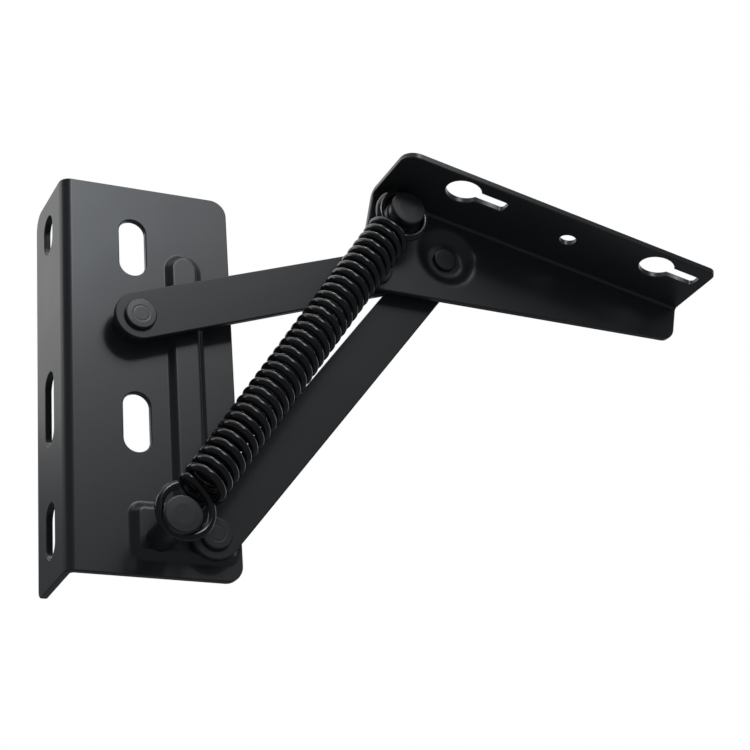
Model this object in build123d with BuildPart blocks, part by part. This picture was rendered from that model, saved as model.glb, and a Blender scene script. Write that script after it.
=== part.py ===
import os
from math import atan2, cos, degrees, hypot, pi, radians, sin

from build123d import *

# Sheet: both brackets and both arms are pressed from the same plate
PLATE_T = 2.0
BEND_R = 1.0
CORNER_R = 5.0
TIGHT_CORNER_R = 2.5

# Base bracket: upright plate with a flange folded back at its left edge
BASE_W = 50.5
BASE_H = 120.0
BASE_FLANGE = 26.0
SLOT_W = 8.0
SLOT_LENGTH = 18.0
SLOT_PITCH = 55.0
SLOT_FROM_LEFT = 21.0
SLOT_FROM_BOTTOM = 45.0
FLANGE_SLOT_BACK = 14.0
FLANGE_SLOT_W = 8.0
FLANGE_SLOT_FROM_TOP = 12.0
FLANGE_SLOT_TOP_LENGTH = 12.0
FLANGE_SLOT_MID = 52.5
FLANGE_SLOT_MID_LENGTH = 22.0
FLANGE_SLOT_LOW = 16.0
FLANGE_SLOT_LOW_LENGTH = 16.0

# Raised rib and raised foot pressed forward out of the base plate
RIB_FROM_LEFT = 36.0
RIB_W = 10.5
RIB_FROM_TOP = 20.5
RIB_RISE = 1.6
FOOT_FROM_LEFT = 33.4
FOOT_FROM_BOTTOM = 12.8
FOOT_W = 31.2
FOOT_H = 16.6
FOOT_RISE = 2.2
FOOT_CORNER = 6.0
PRESS_ANGLE = 46.0
PRESS_WALL = 1.2

# Pivots measured from the lower left corner of the base bracket
A_X = 20.3
A_Z = 74.75
B_X = 41.0
B_Z = 11.75
D_X = 119.0
D_Z = 107.25
BASE_PIN_X = 25.9
BASE_PIN_Z = 10.3

# Seat bracket, measured along and across its fold from pivot D
SEAT_TILT = -13.3
C_U = -21.8
C_V = -13.4
SEAT_PIN_U = -19.2
SEAT_PIN_V = 3.8
SEAT_LEFT = -27.2
SEAT_RIGHT = 81.0
SEAT_FOLD = 12.8
SEAT_FLANGE = 26.0
WEB_DROP_LEFT = 21.1
WEB_END_RIGHT = 1.0
WEB_CORNER_LEFT = 7.0
WEB_CORNER_RIGHT = 4.5
DISH_R = 9.6
DISH_SLOPE = 3.6
KEY_R = 5.5
KEY_SLOT_W = 4.8
KEY_TIP = 14.4
KEY_TIP_CORNER = 1.2
KEY_LEFT = -4.4
KEY_PITCH = 68.0
KEY_FROM_EDGE = 7.4
SEAT_HOLE_U = 33.8
SEAT_HOLE_FROM_EDGE = 11.0
SEAT_HOLE_R = 2.6

# Arms
ARM_W = 14.5
WASHER_T = 0.4
WASHER_R = 6.5
SPACER_R = 6.0
ARM_GAP = 0.3

# Rivets and pins
RIVET_HEAD_R = 4.6
RIVET_HEAD_T = 1.2
RIVET_R = 3.0
RIVET_SEAT_R = 2.25
DISH_HEAD_R = 3.7
TAIL_R = 4.0
TAIL_T = 1.1
PIN_R = 4.0
PIN_NECK_R = 3.3
SEAT_PIN_R = 5.1
SEAT_NECK_R = 4.7
PIN_HEAD_R = 5.4
PIN_HEAD_T = 1.7
PIN_RIVET_R = 2.5
PIN_TAIL_T = 0.9
SINK_DEPTH = 1.0
EDGE_BREAK = 0.3
FIXED_FIT = 0.02
RUN_FIT = 0.05
SIDE_FIT = 0.05
NECK_PLAY = 0.3

# Open pivot at C: play of the rivet in the upper arm's eye, and its direction from the arm
EYE_PLAY = 2.9
EYE_TURN = 34.0
EYE_FIT = 0.6

# Extension spring
WIRE_R = 1.25
COIL_R = 5.55
LOOP_R = 7.4
COIL_TURNS = 32
LOWER_LEAD = 0.2
UPPER_LEAD = 1.6
SPRING_DEPTH = 17.7
LOOP_LEAVE_ANGLE = 50.0
LOWER_SWEEP_ANGLE = 268.0
UPPER_SWEEP_ANGLE = 285.0
TURN_STEPS = 12
LOOP_STEPS = 16
LEAD_STEPS = 6
WIRE_SIDES = 6

# Origin: middle of the two plate slots, on the back face of the base plate
LEFT = -SLOT_FROM_LEFT
BOTTOM = -(SLOT_FROM_BOTTOM + SLOT_PITCH / 2)
RIB_LENGTH = BASE_H - RIB_FROM_TOP - FOOT_FROM_BOTTOM
RIB_MIDDLE = (LEFT + RIB_FROM_LEFT, BOTTOM + FOOT_FROM_BOTTOM + RIB_LENGTH / 2)

# Depths in front of the base plate's front face
LOWER_BACK = FOOT_RISE + WASHER_T
LOWER_FRONT = LOWER_BACK + PLATE_T
UPPER_BACK = LOWER_FRONT + ARM_GAP
UPPER_FRONT = UPPER_BACK + PLATE_T
WEB_BACK = UPPER_FRONT + WASHER_T
WEB_FRONT = WEB_BACK + PLATE_T
DISH_BACK = LOWER_FRONT + WASHER_T
DISH_FRONT = DISH_BACK + PLATE_T
NECK_BACK = SPRING_DEPTH - WIRE_R - NECK_PLAY
NECK_FRONT = SPRING_DEPTH + WIRE_R + NECK_PLAY


def depth_y(depth):
    """Y of a point that lies depth millimetres in front of the base plate."""
    return -(PLATE_T + depth)


def front_plane(depth):
    """Plane parallel to the base plate, its normal towards the front."""
    return Plane.XZ.offset(PLATE_T + depth)


A = (LEFT + A_X, BOTTOM + A_Z)
B = (LEFT + B_X, BOTTOM + B_Z)
D = (LEFT + D_X, BOTTOM + D_Z)
BASE_PIN = (LEFT + BASE_PIN_X, BOTTOM + BASE_PIN_Z)
TILT_COS = cos(radians(SEAT_TILT))
TILT_SIN = sin(radians(SEAT_TILT))


def seat_point(u, v):
    """X and Z of a point given along and across the seat bracket's fold."""
    return (D[0] + u * TILT_COS - v * TILT_SIN, D[1] + u * TILT_SIN + v * TILT_COS)


C = seat_point(C_U, C_V)
SEAT_PIN = seat_point(SEAT_PIN_U, SEAT_PIN_V)
SEAT_PLANE = Plane(origin=(D[0], 0, D[1]), x_dir=(TILT_COS, 0, TILT_SIN), z_dir=(0, -1, 0))
FOLD_PLANE = Plane(origin=(D[0], 0, D[1]), x_dir=(TILT_COS, 0, TILT_SIN), z_dir=(-TILT_SIN, 0, TILT_COS))
SECTION_PLANE = Plane(origin=(D[0], 0, D[1]), x_dir=(0, 1, 0), z_dir=(TILT_COS, 0, TILT_SIN))


def turning_plane(point):
    """Plane through a pivot for a turned profile: x is the radius, y is Y."""
    return Plane(origin=(point[0], 0, point[1]), x_dir=(1, 0, 0), z_dir=(0, 0, 1))


def turning_axis(point):
    """Axis of a pivot."""
    return Axis((point[0], 0, point[1]), (0, 1, 0))


def turned_face(*stations):
    """Face of a turned profile from radius and depth pairs, closed on its axis."""
    points = [(radius, depth_y(depth)) for radius, depth in stations]
    with BuildLine() as outline:
        Polyline(*points, close=True)
    return make_face(outline.edges(), mode=Mode.PRIVATE)


# Base bracket
with BuildPart() as base_bracket:
    with BuildSketch(Plane.XY.offset(BOTTOM)) as base_profile:
        with BuildLine() as base_outline:
            Polyline(
                (LEFT, -PLATE_T),
                (LEFT + BASE_W, -PLATE_T),
                (LEFT + BASE_W, 0),
                (LEFT + PLATE_T, 0),
                (LEFT + PLATE_T, BASE_FLANGE - PLATE_T),
                (LEFT, BASE_FLANGE - PLATE_T),
                close=True,
            )
        make_face()
        outer_corner = base_profile.vertices().sort_by_distance((LEFT, -PLATE_T))[0]
        fillet(outer_corner, BEND_R + PLATE_T)
        inner_corner = base_profile.vertices().sort_by_distance((LEFT + PLATE_T, 0))[0]
        fillet(inner_corner, BEND_R)
    extrude(amount=BASE_H)
    plate_ends = base_bracket.edges().filter_by(Axis.Y).group_by(Axis.X)[-1]
    flange_ends = base_bracket.edges().filter_by(Axis.X).group_by(Axis.Y)[-1].sort_by(Axis.Z)
    fillet(plate_ends + flange_ends[-1:], CORNER_R)
    flange_ends = base_bracket.edges().filter_by(Axis.X).group_by(Axis.Y)[-1].sort_by(Axis.Z)
    fillet(flange_ends[0], TIGHT_CORNER_R)
    with BuildSketch(front_plane(0)):
        with Locations(RIB_MIDDLE):
            SlotOverall(RIB_LENGTH, RIB_W, rotation=90)
    extrude(amount=RIB_RISE, taper=PRESS_ANGLE)
    with BuildSketch(front_plane(0)):
        with Locations((LEFT + FOOT_FROM_LEFT, BOTTOM + FOOT_FROM_BOTTOM)):
            RectangleRounded(FOOT_W, FOOT_H, FOOT_CORNER)
    extrude(amount=FOOT_RISE, taper=PRESS_ANGLE)
    with BuildSketch(Plane.XZ):
        with Locations(RIB_MIDDLE):
            SlotOverall(RIB_LENGTH - 2 * PRESS_WALL, RIB_W - 2 * PRESS_WALL, rotation=90)
    extrude(amount=RIB_RISE, taper=PRESS_ANGLE, mode=Mode.SUBTRACT)
    with BuildSketch(Plane.XZ):
        with Locations((LEFT + FOOT_FROM_LEFT, BOTTOM + FOOT_FROM_BOTTOM)):
            RectangleRounded(FOOT_W - 2 * PRESS_WALL, FOOT_H - 2 * PRESS_WALL, FOOT_CORNER - PRESS_WALL)
    extrude(amount=FOOT_RISE, taper=PRESS_ANGLE / 2, mode=Mode.SUBTRACT)
    with BuildSketch(front_plane(0)):
        with Locations((0, -SLOT_PITCH / 2), (0, SLOT_PITCH / 2)):
            SlotOverall(SLOT_LENGTH, SLOT_W, rotation=90)
    extrude(amount=-PLATE_T, mode=Mode.SUBTRACT)
    with BuildSketch(Plane.YZ.offset(LEFT)):
        with Locations((FLANGE_SLOT_BACK - PLATE_T, BOTTOM + BASE_H - FLANGE_SLOT_FROM_TOP)):
            SlotOverall(FLANGE_SLOT_TOP_LENGTH, FLANGE_SLOT_W, rotation=90)
        with Locations((FLANGE_SLOT_BACK - PLATE_T, BOTTOM + FLANGE_SLOT_MID)):
            SlotOverall(FLANGE_SLOT_MID_LENGTH, FLANGE_SLOT_W, rotation=90)
        with Locations((FLANGE_SLOT_BACK - PLATE_T, BOTTOM + FLANGE_SLOT_LOW)):
            SlotOverall(FLANGE_SLOT_LOW_LENGTH, FLANGE_SLOT_W, rotation=90)
    extrude(amount=PLATE_T, mode=Mode.SUBTRACT)
    with BuildSketch(turning_plane(A)):
        add(
            turned_face(
                (0, -PLATE_T),
                (TAIL_R + FIXED_FIT, -PLATE_T),
                (RIVET_R + FIXED_FIT, -PLATE_T + SINK_DEPTH),
                (RIVET_R + FIXED_FIT, 0),
                (0, 0),
            )
        )
    revolve(axis=turning_axis(A), mode=Mode.SUBTRACT)
    with BuildSketch(front_plane(FOOT_RISE)):
        with Locations(B):
            Circle(RIVET_R + FIXED_FIT)
        with Locations(BASE_PIN):
            Circle(PIN_RIVET_R + FIXED_FIT)
    extrude(amount=-(PLATE_T + FOOT_RISE), mode=Mode.SUBTRACT)
base_bracket.part.label = "base_bracket"

# Upper arm: pivots A and C, with the long eye of the open pivot at C
UPPER_SPAN = hypot(C[0] - A[0], C[1] - A[1])
UPPER_ANGLE = degrees(atan2(C[1] - A[1], C[0] - A[0]))
upper_plane = Plane(
    origin=(A[0], depth_y(UPPER_BACK), A[1]),
    x_dir=(cos(radians(UPPER_ANGLE)), 0, sin(radians(UPPER_ANGLE))),
    z_dir=(0, -1, 0),
)
with BuildPart() as upper_arm:
    with BuildSketch(upper_plane):
        with Locations((UPPER_SPAN / 2, 0)):
            SlotCenterToCenter(UPPER_SPAN, ARM_W)
        Circle(RIVET_R + RUN_FIT, mode=Mode.SUBTRACT)
        with Locations((UPPER_SPAN, 0)):
            SlotCenterToCenter(
                2 * EYE_PLAY, 2 * (RIVET_SEAT_R + EYE_FIT), rotation=EYE_TURN, mode=Mode.SUBTRACT
            )
    extrude(amount=PLATE_T)
upper_arm.part.label = "upper_arm"

# Lower arm: pivots B and D
LOWER_SPAN = hypot(D[0] - B[0], D[1] - B[1])
LOWER_ANGLE = degrees(atan2(D[1] - B[1], D[0] - B[0]))
lower_plane = Plane(
    origin=(B[0], depth_y(LOWER_BACK), B[1]),
    x_dir=(cos(radians(LOWER_ANGLE)), 0, sin(radians(LOWER_ANGLE))),
    z_dir=(0, -1, 0),
)
with BuildPart() as lower_arm:
    with BuildSketch(lower_plane):
        with Locations((LOWER_SPAN / 2, 0)):
            SlotCenterToCenter(LOWER_SPAN, ARM_W)
        with Locations((0, 0), (LOWER_SPAN, 0)):
            Circle(RIVET_R + RUN_FIT, mode=Mode.SUBTRACT)
    extrude(amount=PLATE_T)
lower_arm.part.label = "lower_arm"

# Seat bracket: tapering web with a flange folded towards the front
FOLD_AXIS = Axis((0, 0, 0), (-TILT_SIN, 0, TILT_COS))
SEAT_TOP = SEAT_FOLD + PLATE_T
FLANGE_EDGE = WEB_BACK + SEAT_FLANGE
with BuildPart() as seat_bracket:
    with BuildSketch(SECTION_PLANE.offset(SEAT_LEFT)) as seat_profile:
        with BuildLine():
            Polyline(
                (depth_y(WEB_BACK), -WEB_DROP_LEFT),
                (depth_y(WEB_FRONT), -WEB_DROP_LEFT),
                (depth_y(WEB_FRONT), SEAT_FOLD),
                (depth_y(FLANGE_EDGE), SEAT_FOLD),
                (depth_y(FLANGE_EDGE), SEAT_TOP),
                (depth_y(WEB_BACK), SEAT_TOP),
                close=True,
            )
        make_face()
        fold_outside = seat_profile.vertices().sort_by_distance((depth_y(WEB_BACK), SEAT_TOP))[0]
        fillet(fold_outside, BEND_R + PLATE_T)
        fold_inside = seat_profile.vertices().sort_by_distance((depth_y(WEB_FRONT), SEAT_FOLD))[0]
        fillet(fold_inside, BEND_R)
    extrude(amount=SEAT_RIGHT - SEAT_LEFT)
    with BuildSketch(SEAT_PLANE) as web_shape:
        with BuildLine():
            Polyline(
                (SEAT_LEFT, -WEB_DROP_LEFT),
                (SEAT_RIGHT, WEB_END_RIGHT),
                (SEAT_RIGHT, SEAT_TOP + CORNER_R),
                (SEAT_LEFT, SEAT_TOP + CORNER_R),
                close=True,
            )
        make_face()
        left_corner = web_shape.vertices().group_by(Axis.X)[0].sort_by(Axis.Y)[0]
        fillet(left_corner, WEB_CORNER_LEFT)
        right_corner = web_shape.vertices().group_by(Axis.X)[-1].sort_by(Axis.Y)[0]
        fillet(right_corner, WEB_CORNER_RIGHT)
    extrude(amount=FLANGE_EDGE + 2 * PLATE_T, mode=Mode.INTERSECT)
    flange_corners = seat_bracket.edges().filter_by(FOLD_AXIS).group_by(Axis.Y)[0].sort_by(Axis.X)
    fillet(flange_corners[0], CORNER_R)
    flange_corners = seat_bracket.edges().filter_by(FOLD_AXIS).group_by(Axis.Y)[0].sort_by(Axis.X)
    fillet(flange_corners[-1], TIGHT_CORNER_R)
    with BuildSketch(SEAT_PLANE.offset(PLATE_T + WEB_BACK)):
        Circle(DISH_R + DISH_SLOPE / 2)
    extrude(amount=PLATE_T, mode=Mode.SUBTRACT)
    with BuildSketch(turning_plane(D)):
        add(
            turned_face(
                (DISH_R + DISH_SLOPE / 2, WEB_FRONT),
                (DISH_R, WEB_FRONT),
                (DISH_R - DISH_SLOPE, DISH_FRONT),
                (RIVET_R + FIXED_FIT, DISH_FRONT),
                (RIVET_R + FIXED_FIT, DISH_BACK),
                (DISH_R - DISH_SLOPE + PRESS_WALL / 2, DISH_BACK),
                (DISH_R + DISH_SLOPE / 2, WEB_BACK),
            )
        )
    revolve(axis=turning_axis(D))
    with BuildSketch(SEAT_PLANE.offset(PLATE_T + WEB_BACK)):
        with Locations((C_U, C_V)):
            Circle(RIVET_SEAT_R + FIXED_FIT)
        with Locations((SEAT_PIN_U, SEAT_PIN_V)):
            Circle(PIN_RIVET_R + FIXED_FIT)
    extrude(amount=PLATE_T, mode=Mode.SUBTRACT)
    with BuildSketch(FOLD_PLANE.offset(SEAT_FOLD)):
        with Locations(
            (KEY_LEFT, depth_y(FLANGE_EDGE - KEY_FROM_EDGE)),
            (KEY_LEFT + KEY_PITCH, depth_y(FLANGE_EDGE - KEY_FROM_EDGE)),
        ):
            Circle(KEY_R)
        with Locations(
            (KEY_LEFT + KEY_TIP / 2, depth_y(FLANGE_EDGE - KEY_FROM_EDGE)),
            (KEY_LEFT + KEY_PITCH + KEY_TIP / 2, depth_y(FLANGE_EDGE - KEY_FROM_EDGE)),
        ):
            RectangleRounded(KEY_TIP, KEY_SLOT_W, KEY_TIP_CORNER)
        with Locations((SEAT_HOLE_U, depth_y(FLANGE_EDGE - SEAT_HOLE_FROM_EDGE))):
            Circle(SEAT_HOLE_R)
    extrude(amount=PLATE_T, mode=Mode.SUBTRACT)
seat_bracket.part.label = "seat_bracket"

# Pivot A: rivet sunk flush in the base plate, spacer under the upper arm
HEAD_A = UPPER_FRONT + SIDE_FIT
with BuildPart() as upper_base_rivet:
    with BuildSketch(turning_plane(A)):
        add(
            turned_face(
                (0, -PLATE_T),
                (TAIL_R, -PLATE_T),
                (RIVET_R, -PLATE_T + SINK_DEPTH),
                (RIVET_R, HEAD_A),
                (RIVET_HEAD_R, HEAD_A),
                (RIVET_HEAD_R, HEAD_A + RIVET_HEAD_T - EDGE_BREAK),
                (RIVET_HEAD_R - EDGE_BREAK, HEAD_A + RIVET_HEAD_T),
                (0, HEAD_A + RIVET_HEAD_T),
            )
        )
    revolve(axis=turning_axis(A))
upper_base_rivet.part.label = "upper_base_rivet"

with BuildPart() as upper_base_spacer:
    with BuildSketch(front_plane(0)):
        with Locations(A):
            Circle(SPACER_R)
            Circle(RIVET_R + FIXED_FIT, mode=Mode.SUBTRACT)
    extrude(amount=UPPER_BACK - SIDE_FIT)
upper_base_spacer.part.label = "upper_base_spacer"

# Pivot B: rivet held in the pressed foot, its tail inside the hollow behind the foot
HEAD_B = LOWER_FRONT + SIDE_FIT
FOOT_BACK = FOOT_RISE - PLATE_T
with BuildPart() as lower_base_rivet:
    with BuildSketch(turning_plane(B)):
        add(
            turned_face(
                (0, FOOT_BACK - TAIL_T),
                (TAIL_R, FOOT_BACK - TAIL_T),
                (TAIL_R, FOOT_BACK),
                (RIVET_R, FOOT_BACK),
                (RIVET_R, HEAD_B),
                (RIVET_HEAD_R, HEAD_B),
                (RIVET_HEAD_R, HEAD_B + RIVET_HEAD_T - EDGE_BREAK),
                (RIVET_HEAD_R - EDGE_BREAK, HEAD_B + RIVET_HEAD_T),
                (0, HEAD_B + RIVET_HEAD_T),
            )
        )
    revolve(axis=turning_axis(B))
lower_base_rivet.part.label = "lower_base_rivet"

with BuildPart() as lower_base_washer:
    with BuildSketch(front_plane(FOOT_RISE)):
        with Locations(B):
            Circle(WASHER_R)
            Circle(RIVET_R + FIXED_FIT, mode=Mode.SUBTRACT)
    extrude(amount=WASHER_T - SIDE_FIT)
lower_base_washer.part.label = "lower_base_washer"

# Pivot C: rivet fixed in the web, flush behind the upper arm
HEAD_C = WEB_FRONT
with BuildPart() as upper_seat_rivet:
    with BuildSketch(turning_plane(C)):
        add(
            turned_face(
                (0, UPPER_BACK + SIDE_FIT),
                (RIVET_SEAT_R, UPPER_BACK + SIDE_FIT),
                (RIVET_SEAT_R, HEAD_C),
                (RIVET_HEAD_R, HEAD_C),
                (RIVET_HEAD_R, HEAD_C + RIVET_HEAD_T - EDGE_BREAK),
                (RIVET_HEAD_R - EDGE_BREAK, HEAD_C + RIVET_HEAD_T),
                (0, HEAD_C + RIVET_HEAD_T),
            )
        )
    revolve(axis=turning_axis(C))
upper_seat_rivet.part.label = "upper_seat_rivet"

with BuildPart() as upper_seat_washer:
    with BuildSketch(front_plane(UPPER_FRONT + SIDE_FIT)):
        with Locations(C):
            Circle(WASHER_R)
            Circle(RIVET_SEAT_R + FIXED_FIT, mode=Mode.SUBTRACT)
    extrude(amount=WASHER_T - SIDE_FIT)
upper_seat_washer.part.label = "upper_seat_washer"

# Pivot D: rivet fixed in the dish, its tail behind the lower arm
TAIL_D = LOWER_BACK - SIDE_FIT
with BuildPart() as lower_seat_rivet:
    with BuildSketch(turning_plane(D)):
        add(
            turned_face(
                (0, TAIL_D - TAIL_T),
                (TAIL_R, TAIL_D - TAIL_T),
                (TAIL_R, TAIL_D),
                (RIVET_R, TAIL_D),
                (RIVET_R, DISH_FRONT),
                (DISH_HEAD_R, DISH_FRONT),
                (DISH_HEAD_R, DISH_FRONT + RIVET_HEAD_T - EDGE_BREAK),
                (DISH_HEAD_R - EDGE_BREAK, DISH_FRONT + RIVET_HEAD_T),
                (0, DISH_FRONT + RIVET_HEAD_T),
            )
        )
    revolve(axis=turning_axis(D))
lower_seat_rivet.part.label = "lower_seat_rivet"

with BuildPart() as lower_seat_washer:
    with BuildSketch(front_plane(LOWER_FRONT + SIDE_FIT)):
        with Locations(D):
            Circle(WASHER_R)
            Circle(RIVET_R + FIXED_FIT, mode=Mode.SUBTRACT)
    extrude(amount=WASHER_T - SIDE_FIT)
lower_seat_washer.part.label = "lower_seat_washer"

# Spring pins: shouldered studs with a neck for the spring's end loop
HEAD_TOP = NECK_FRONT + PIN_HEAD_T
with BuildPart() as base_spring_pin:
    with BuildSketch(turning_plane(BASE_PIN)):
        add(
            turned_face(
                (0, FOOT_BACK - TAIL_T),
                (PIN_R - EDGE_BREAK, FOOT_BACK - TAIL_T),
                (PIN_R - EDGE_BREAK, FOOT_BACK),
                (PIN_RIVET_R, FOOT_BACK),
                (PIN_RIVET_R, FOOT_RISE),
                (PIN_R, FOOT_RISE),
                (PIN_R, NECK_BACK),
                (PIN_NECK_R, NECK_BACK),
                (PIN_NECK_R, NECK_FRONT),
                (PIN_HEAD_R, NECK_FRONT),
                (PIN_HEAD_R, HEAD_TOP - EDGE_BREAK),
                (PIN_HEAD_R - EDGE_BREAK, HEAD_TOP),
                (0, HEAD_TOP),
            )
        )
    revolve(axis=turning_axis(BASE_PIN))
base_spring_pin.part.label = "base_spring_pin"

with BuildPart() as seat_spring_pin:
    with BuildSketch(turning_plane(SEAT_PIN)):
        add(
            turned_face(
                (0, WEB_BACK - PIN_TAIL_T),
                (PIN_R - EDGE_BREAK, WEB_BACK - PIN_TAIL_T),
                (PIN_R - EDGE_BREAK, WEB_BACK),
                (PIN_RIVET_R, WEB_BACK),
                (PIN_RIVET_R, WEB_FRONT),
                (SEAT_PIN_R, WEB_FRONT),
                (SEAT_PIN_R, NECK_BACK),
                (SEAT_NECK_R, NECK_BACK),
                (SEAT_NECK_R, NECK_FRONT),
                (PIN_HEAD_R, NECK_FRONT),
                (PIN_HEAD_R, HEAD_TOP - EDGE_BREAK),
                (PIN_HEAD_R - EDGE_BREAK, HEAD_TOP),
                (0, HEAD_TOP),
            )
        )
    revolve(axis=turning_axis(SEAT_PIN))
seat_spring_pin.part.label = "seat_spring_pin"

# Extension spring along the line between the two pins, one loop hooked on each
SPAN = hypot(SEAT_PIN[0] - BASE_PIN[0], SEAT_PIN[1] - BASE_PIN[1])
ALONG = Vector((SEAT_PIN[0] - BASE_PIN[0]) / SPAN, 0, (SEAT_PIN[1] - BASE_PIN[1]) / SPAN)
ACROSS = Vector(ALONG.Z, 0, -ALONG.X)
OUTWARD = Vector(0, -1, 0)
SPRING_START = Vector(BASE_PIN[0], depth_y(SPRING_DEPTH), BASE_PIN[1])
LOWER_SHIFT = LOOP_R - WIRE_R - PIN_NECK_R - FIXED_FIT
UPPER_SHIFT = LOOP_R - WIRE_R - SEAT_NECK_R - FIXED_FIT
COIL_START = LOWER_SHIFT + LOOP_R + LOWER_LEAD
COIL_STOP = UPPER_SHIFT + LOOP_R + UPPER_LEAD
COIL_LENGTH = SPAN - COIL_START - COIL_STOP
COIL_STEPS = COIL_TURNS * TURN_STEPS
LEAVE = radians(LOOP_LEAVE_ANGLE)


def end_points(shift, sweep, lead):
    """End loop from its free end round, then its lead to the coil's left side, seen from the lower pin."""
    points = []
    for step in range(LOOP_STEPS + 1):
        angle = LEAVE - sweep * (1 - step / LOOP_STEPS)
        points.append((LOOP_R * cos(angle), 0, shift + LOOP_R * sin(angle)))
    start = Vector(LOOP_R * cos(LEAVE), 0, shift + LOOP_R * sin(LEAVE))
    start_way = Vector(-sin(LEAVE), 0, cos(LEAVE)) * 2 * COIL_R
    end = Vector(-COIL_R, 0, shift + LOOP_R + lead)
    end_way = Vector(0, -1, 0) * 2 * COIL_R
    for step in range(1, LEAD_STEPS):
        t = step / LEAD_STEPS
        near = start * (2 * t**3 - 3 * t**2 + 1) + start_way * (t**3 - 2 * t**2 + t)
        far = end * (3 * t**2 - 2 * t**3) + end_way * (t**3 - t**2)
        point = near + far
        points.append((point.X, point.Y, point.Z))
    return points


low_end = end_points(LOWER_SHIFT, radians(LOWER_SWEEP_ANGLE), LOWER_LEAD)
high_end = end_points(UPPER_SHIFT, radians(UPPER_SWEEP_ANGLE), UPPER_LEAD)
coil = []
for step in range(COIL_STEPS + 1):
    turn = 2 * pi * step / TURN_STEPS
    coil.append((-COIL_R * cos(turn), -COIL_R * sin(turn), COIL_START + COIL_LENGTH * step / COIL_STEPS))
high_end_turned = [(x, -y, SPAN - z) for x, y, z in reversed(high_end)]
wire_points = [
    SPRING_START + ACROSS * x + OUTWARD * y + ALONG * z for x, y, z in low_end + coil + high_end_turned
]

with BuildPart() as spring:
    side = OUTWARD
    for index, point in enumerate(wire_points):
        before = wire_points[max(index - 1, 0)]
        after = wire_points[min(index + 1, len(wire_points) - 1)]
        way = (after - before).normalized()
        side = (side - way * side.dot(way)).normalized()
        with BuildSketch(Plane(origin=point, x_dir=side, z_dir=way)):
            RegularPolygon(WIRE_R, WIRE_SIDES)
    loft(ruled=True)
spring.part.label = "spring"

os.makedirs("parts", exist_ok=True)
export_step(base_bracket.part, "parts/base_bracket.step")
export_step(upper_base_rivet.part, "parts/upper_base_rivet.step")
export_step(upper_base_spacer.part, "parts/upper_base_spacer.step")
export_step(lower_base_rivet.part, "parts/lower_base_rivet.step")
export_step(lower_base_washer.part, "parts/lower_base_washer.step")
export_step(base_spring_pin.part, "parts/base_spring_pin.step")
export_step(upper_arm.part, "parts/upper_arm.step")
export_step(lower_arm.part, "parts/lower_arm.step")
export_step(seat_bracket.part, "parts/seat_bracket.step")
export_step(upper_seat_rivet.part, "parts/upper_seat_rivet.step")
export_step(upper_seat_washer.part, "parts/upper_seat_washer.step")
export_step(lower_seat_rivet.part, "parts/lower_seat_rivet.step")
export_step(lower_seat_washer.part, "parts/lower_seat_washer.step")
export_step(seat_spring_pin.part, "parts/seat_spring_pin.step")
export_step(spring.part, "parts/spring.step")
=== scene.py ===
"""Lift-up seat hinge: folded sheet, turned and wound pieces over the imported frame."""
import logging
import math
from collections.abc import Iterable, Sequence
from dataclasses import dataclass, field
from enum import Enum
from typing import Any

import bmesh
import bpy
import numpy as np
from mathutils import Matrix, Vector
from mathutils.geometry import delaunay_2d_cdt


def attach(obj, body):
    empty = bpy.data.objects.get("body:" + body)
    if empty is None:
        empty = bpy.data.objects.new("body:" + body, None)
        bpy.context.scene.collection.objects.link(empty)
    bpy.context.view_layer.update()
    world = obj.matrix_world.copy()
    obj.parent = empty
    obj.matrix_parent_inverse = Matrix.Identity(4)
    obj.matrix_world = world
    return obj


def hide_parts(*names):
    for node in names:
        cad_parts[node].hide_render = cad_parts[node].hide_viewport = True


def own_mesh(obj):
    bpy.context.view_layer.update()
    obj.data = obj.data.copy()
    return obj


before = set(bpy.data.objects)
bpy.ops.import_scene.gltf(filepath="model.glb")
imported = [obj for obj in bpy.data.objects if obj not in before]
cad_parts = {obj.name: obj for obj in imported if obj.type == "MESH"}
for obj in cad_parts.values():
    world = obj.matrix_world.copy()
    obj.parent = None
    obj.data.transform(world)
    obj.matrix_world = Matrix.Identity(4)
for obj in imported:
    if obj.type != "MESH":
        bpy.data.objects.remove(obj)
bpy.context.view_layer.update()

LOG = logging.getLogger("seat_hinge")

MM = 0.001
PLATE = 2.0
BEND_INSIDE = 1.0
BEND_OUTSIDE = BEND_INSIDE + PLATE
BEND_MIDDLE = (BEND_INSIDE + BEND_OUTSIDE) / 2
BEND_RUN = BEND_MIDDLE * math.pi / 2
BEND_STEPS = 10

LEFT = -21.0
BOTTOM = -72.5
TILT = math.radians(-13.3)

LOWER_ARM_BACK = 2.6
LOWER_ARM_FRONT = LOWER_ARM_BACK + PLATE
UPPER_ARM_BACK = 4.9
UPPER_ARM_FRONT = UPPER_ARM_BACK + PLATE
WEB_BACK = 7.3
WEB_FRONT = WEB_BACK + PLATE
DISH_FRONT = 7.0
FOOT_RISE = 2.2
SIDE_FIT = 0.05
SPRING_DEPTH = 17.7
SINK_DEPTH = 1.0

ROUND_STEPS = 56
SLOT_END_STEPS = 22
KEY_STEPS = 44
KEY_CORNER_STEPS = 6
SAME_LEVEL = 1e-6
ON_STATION = 1e-5
SAME_SPOT = 1e-7

Colour = tuple[float, float, float]
Spot = tuple[float, float]


def depth_y(depth: float) -> float:
    """Y of a point that lies depth millimetres in front of the base plate."""
    return -(PLATE + depth)


def seat_spot(along: float, across: float) -> Spot:
    """X and Z of a point measured along and across the seat bracket's fold.

    Args:
        along: millimetres along the fold from the lower arm's upper pivot.
        across: millimetres square to the fold from the same pivot.

    Returns:
        X and Z in the frame, in millimetres.
    """
    return (
        SEAT_PIVOT[0] + along * math.cos(TILT) - across * math.sin(TILT),
        SEAT_PIVOT[1] + along * math.sin(TILT) + across * math.cos(TILT),
    )


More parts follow.
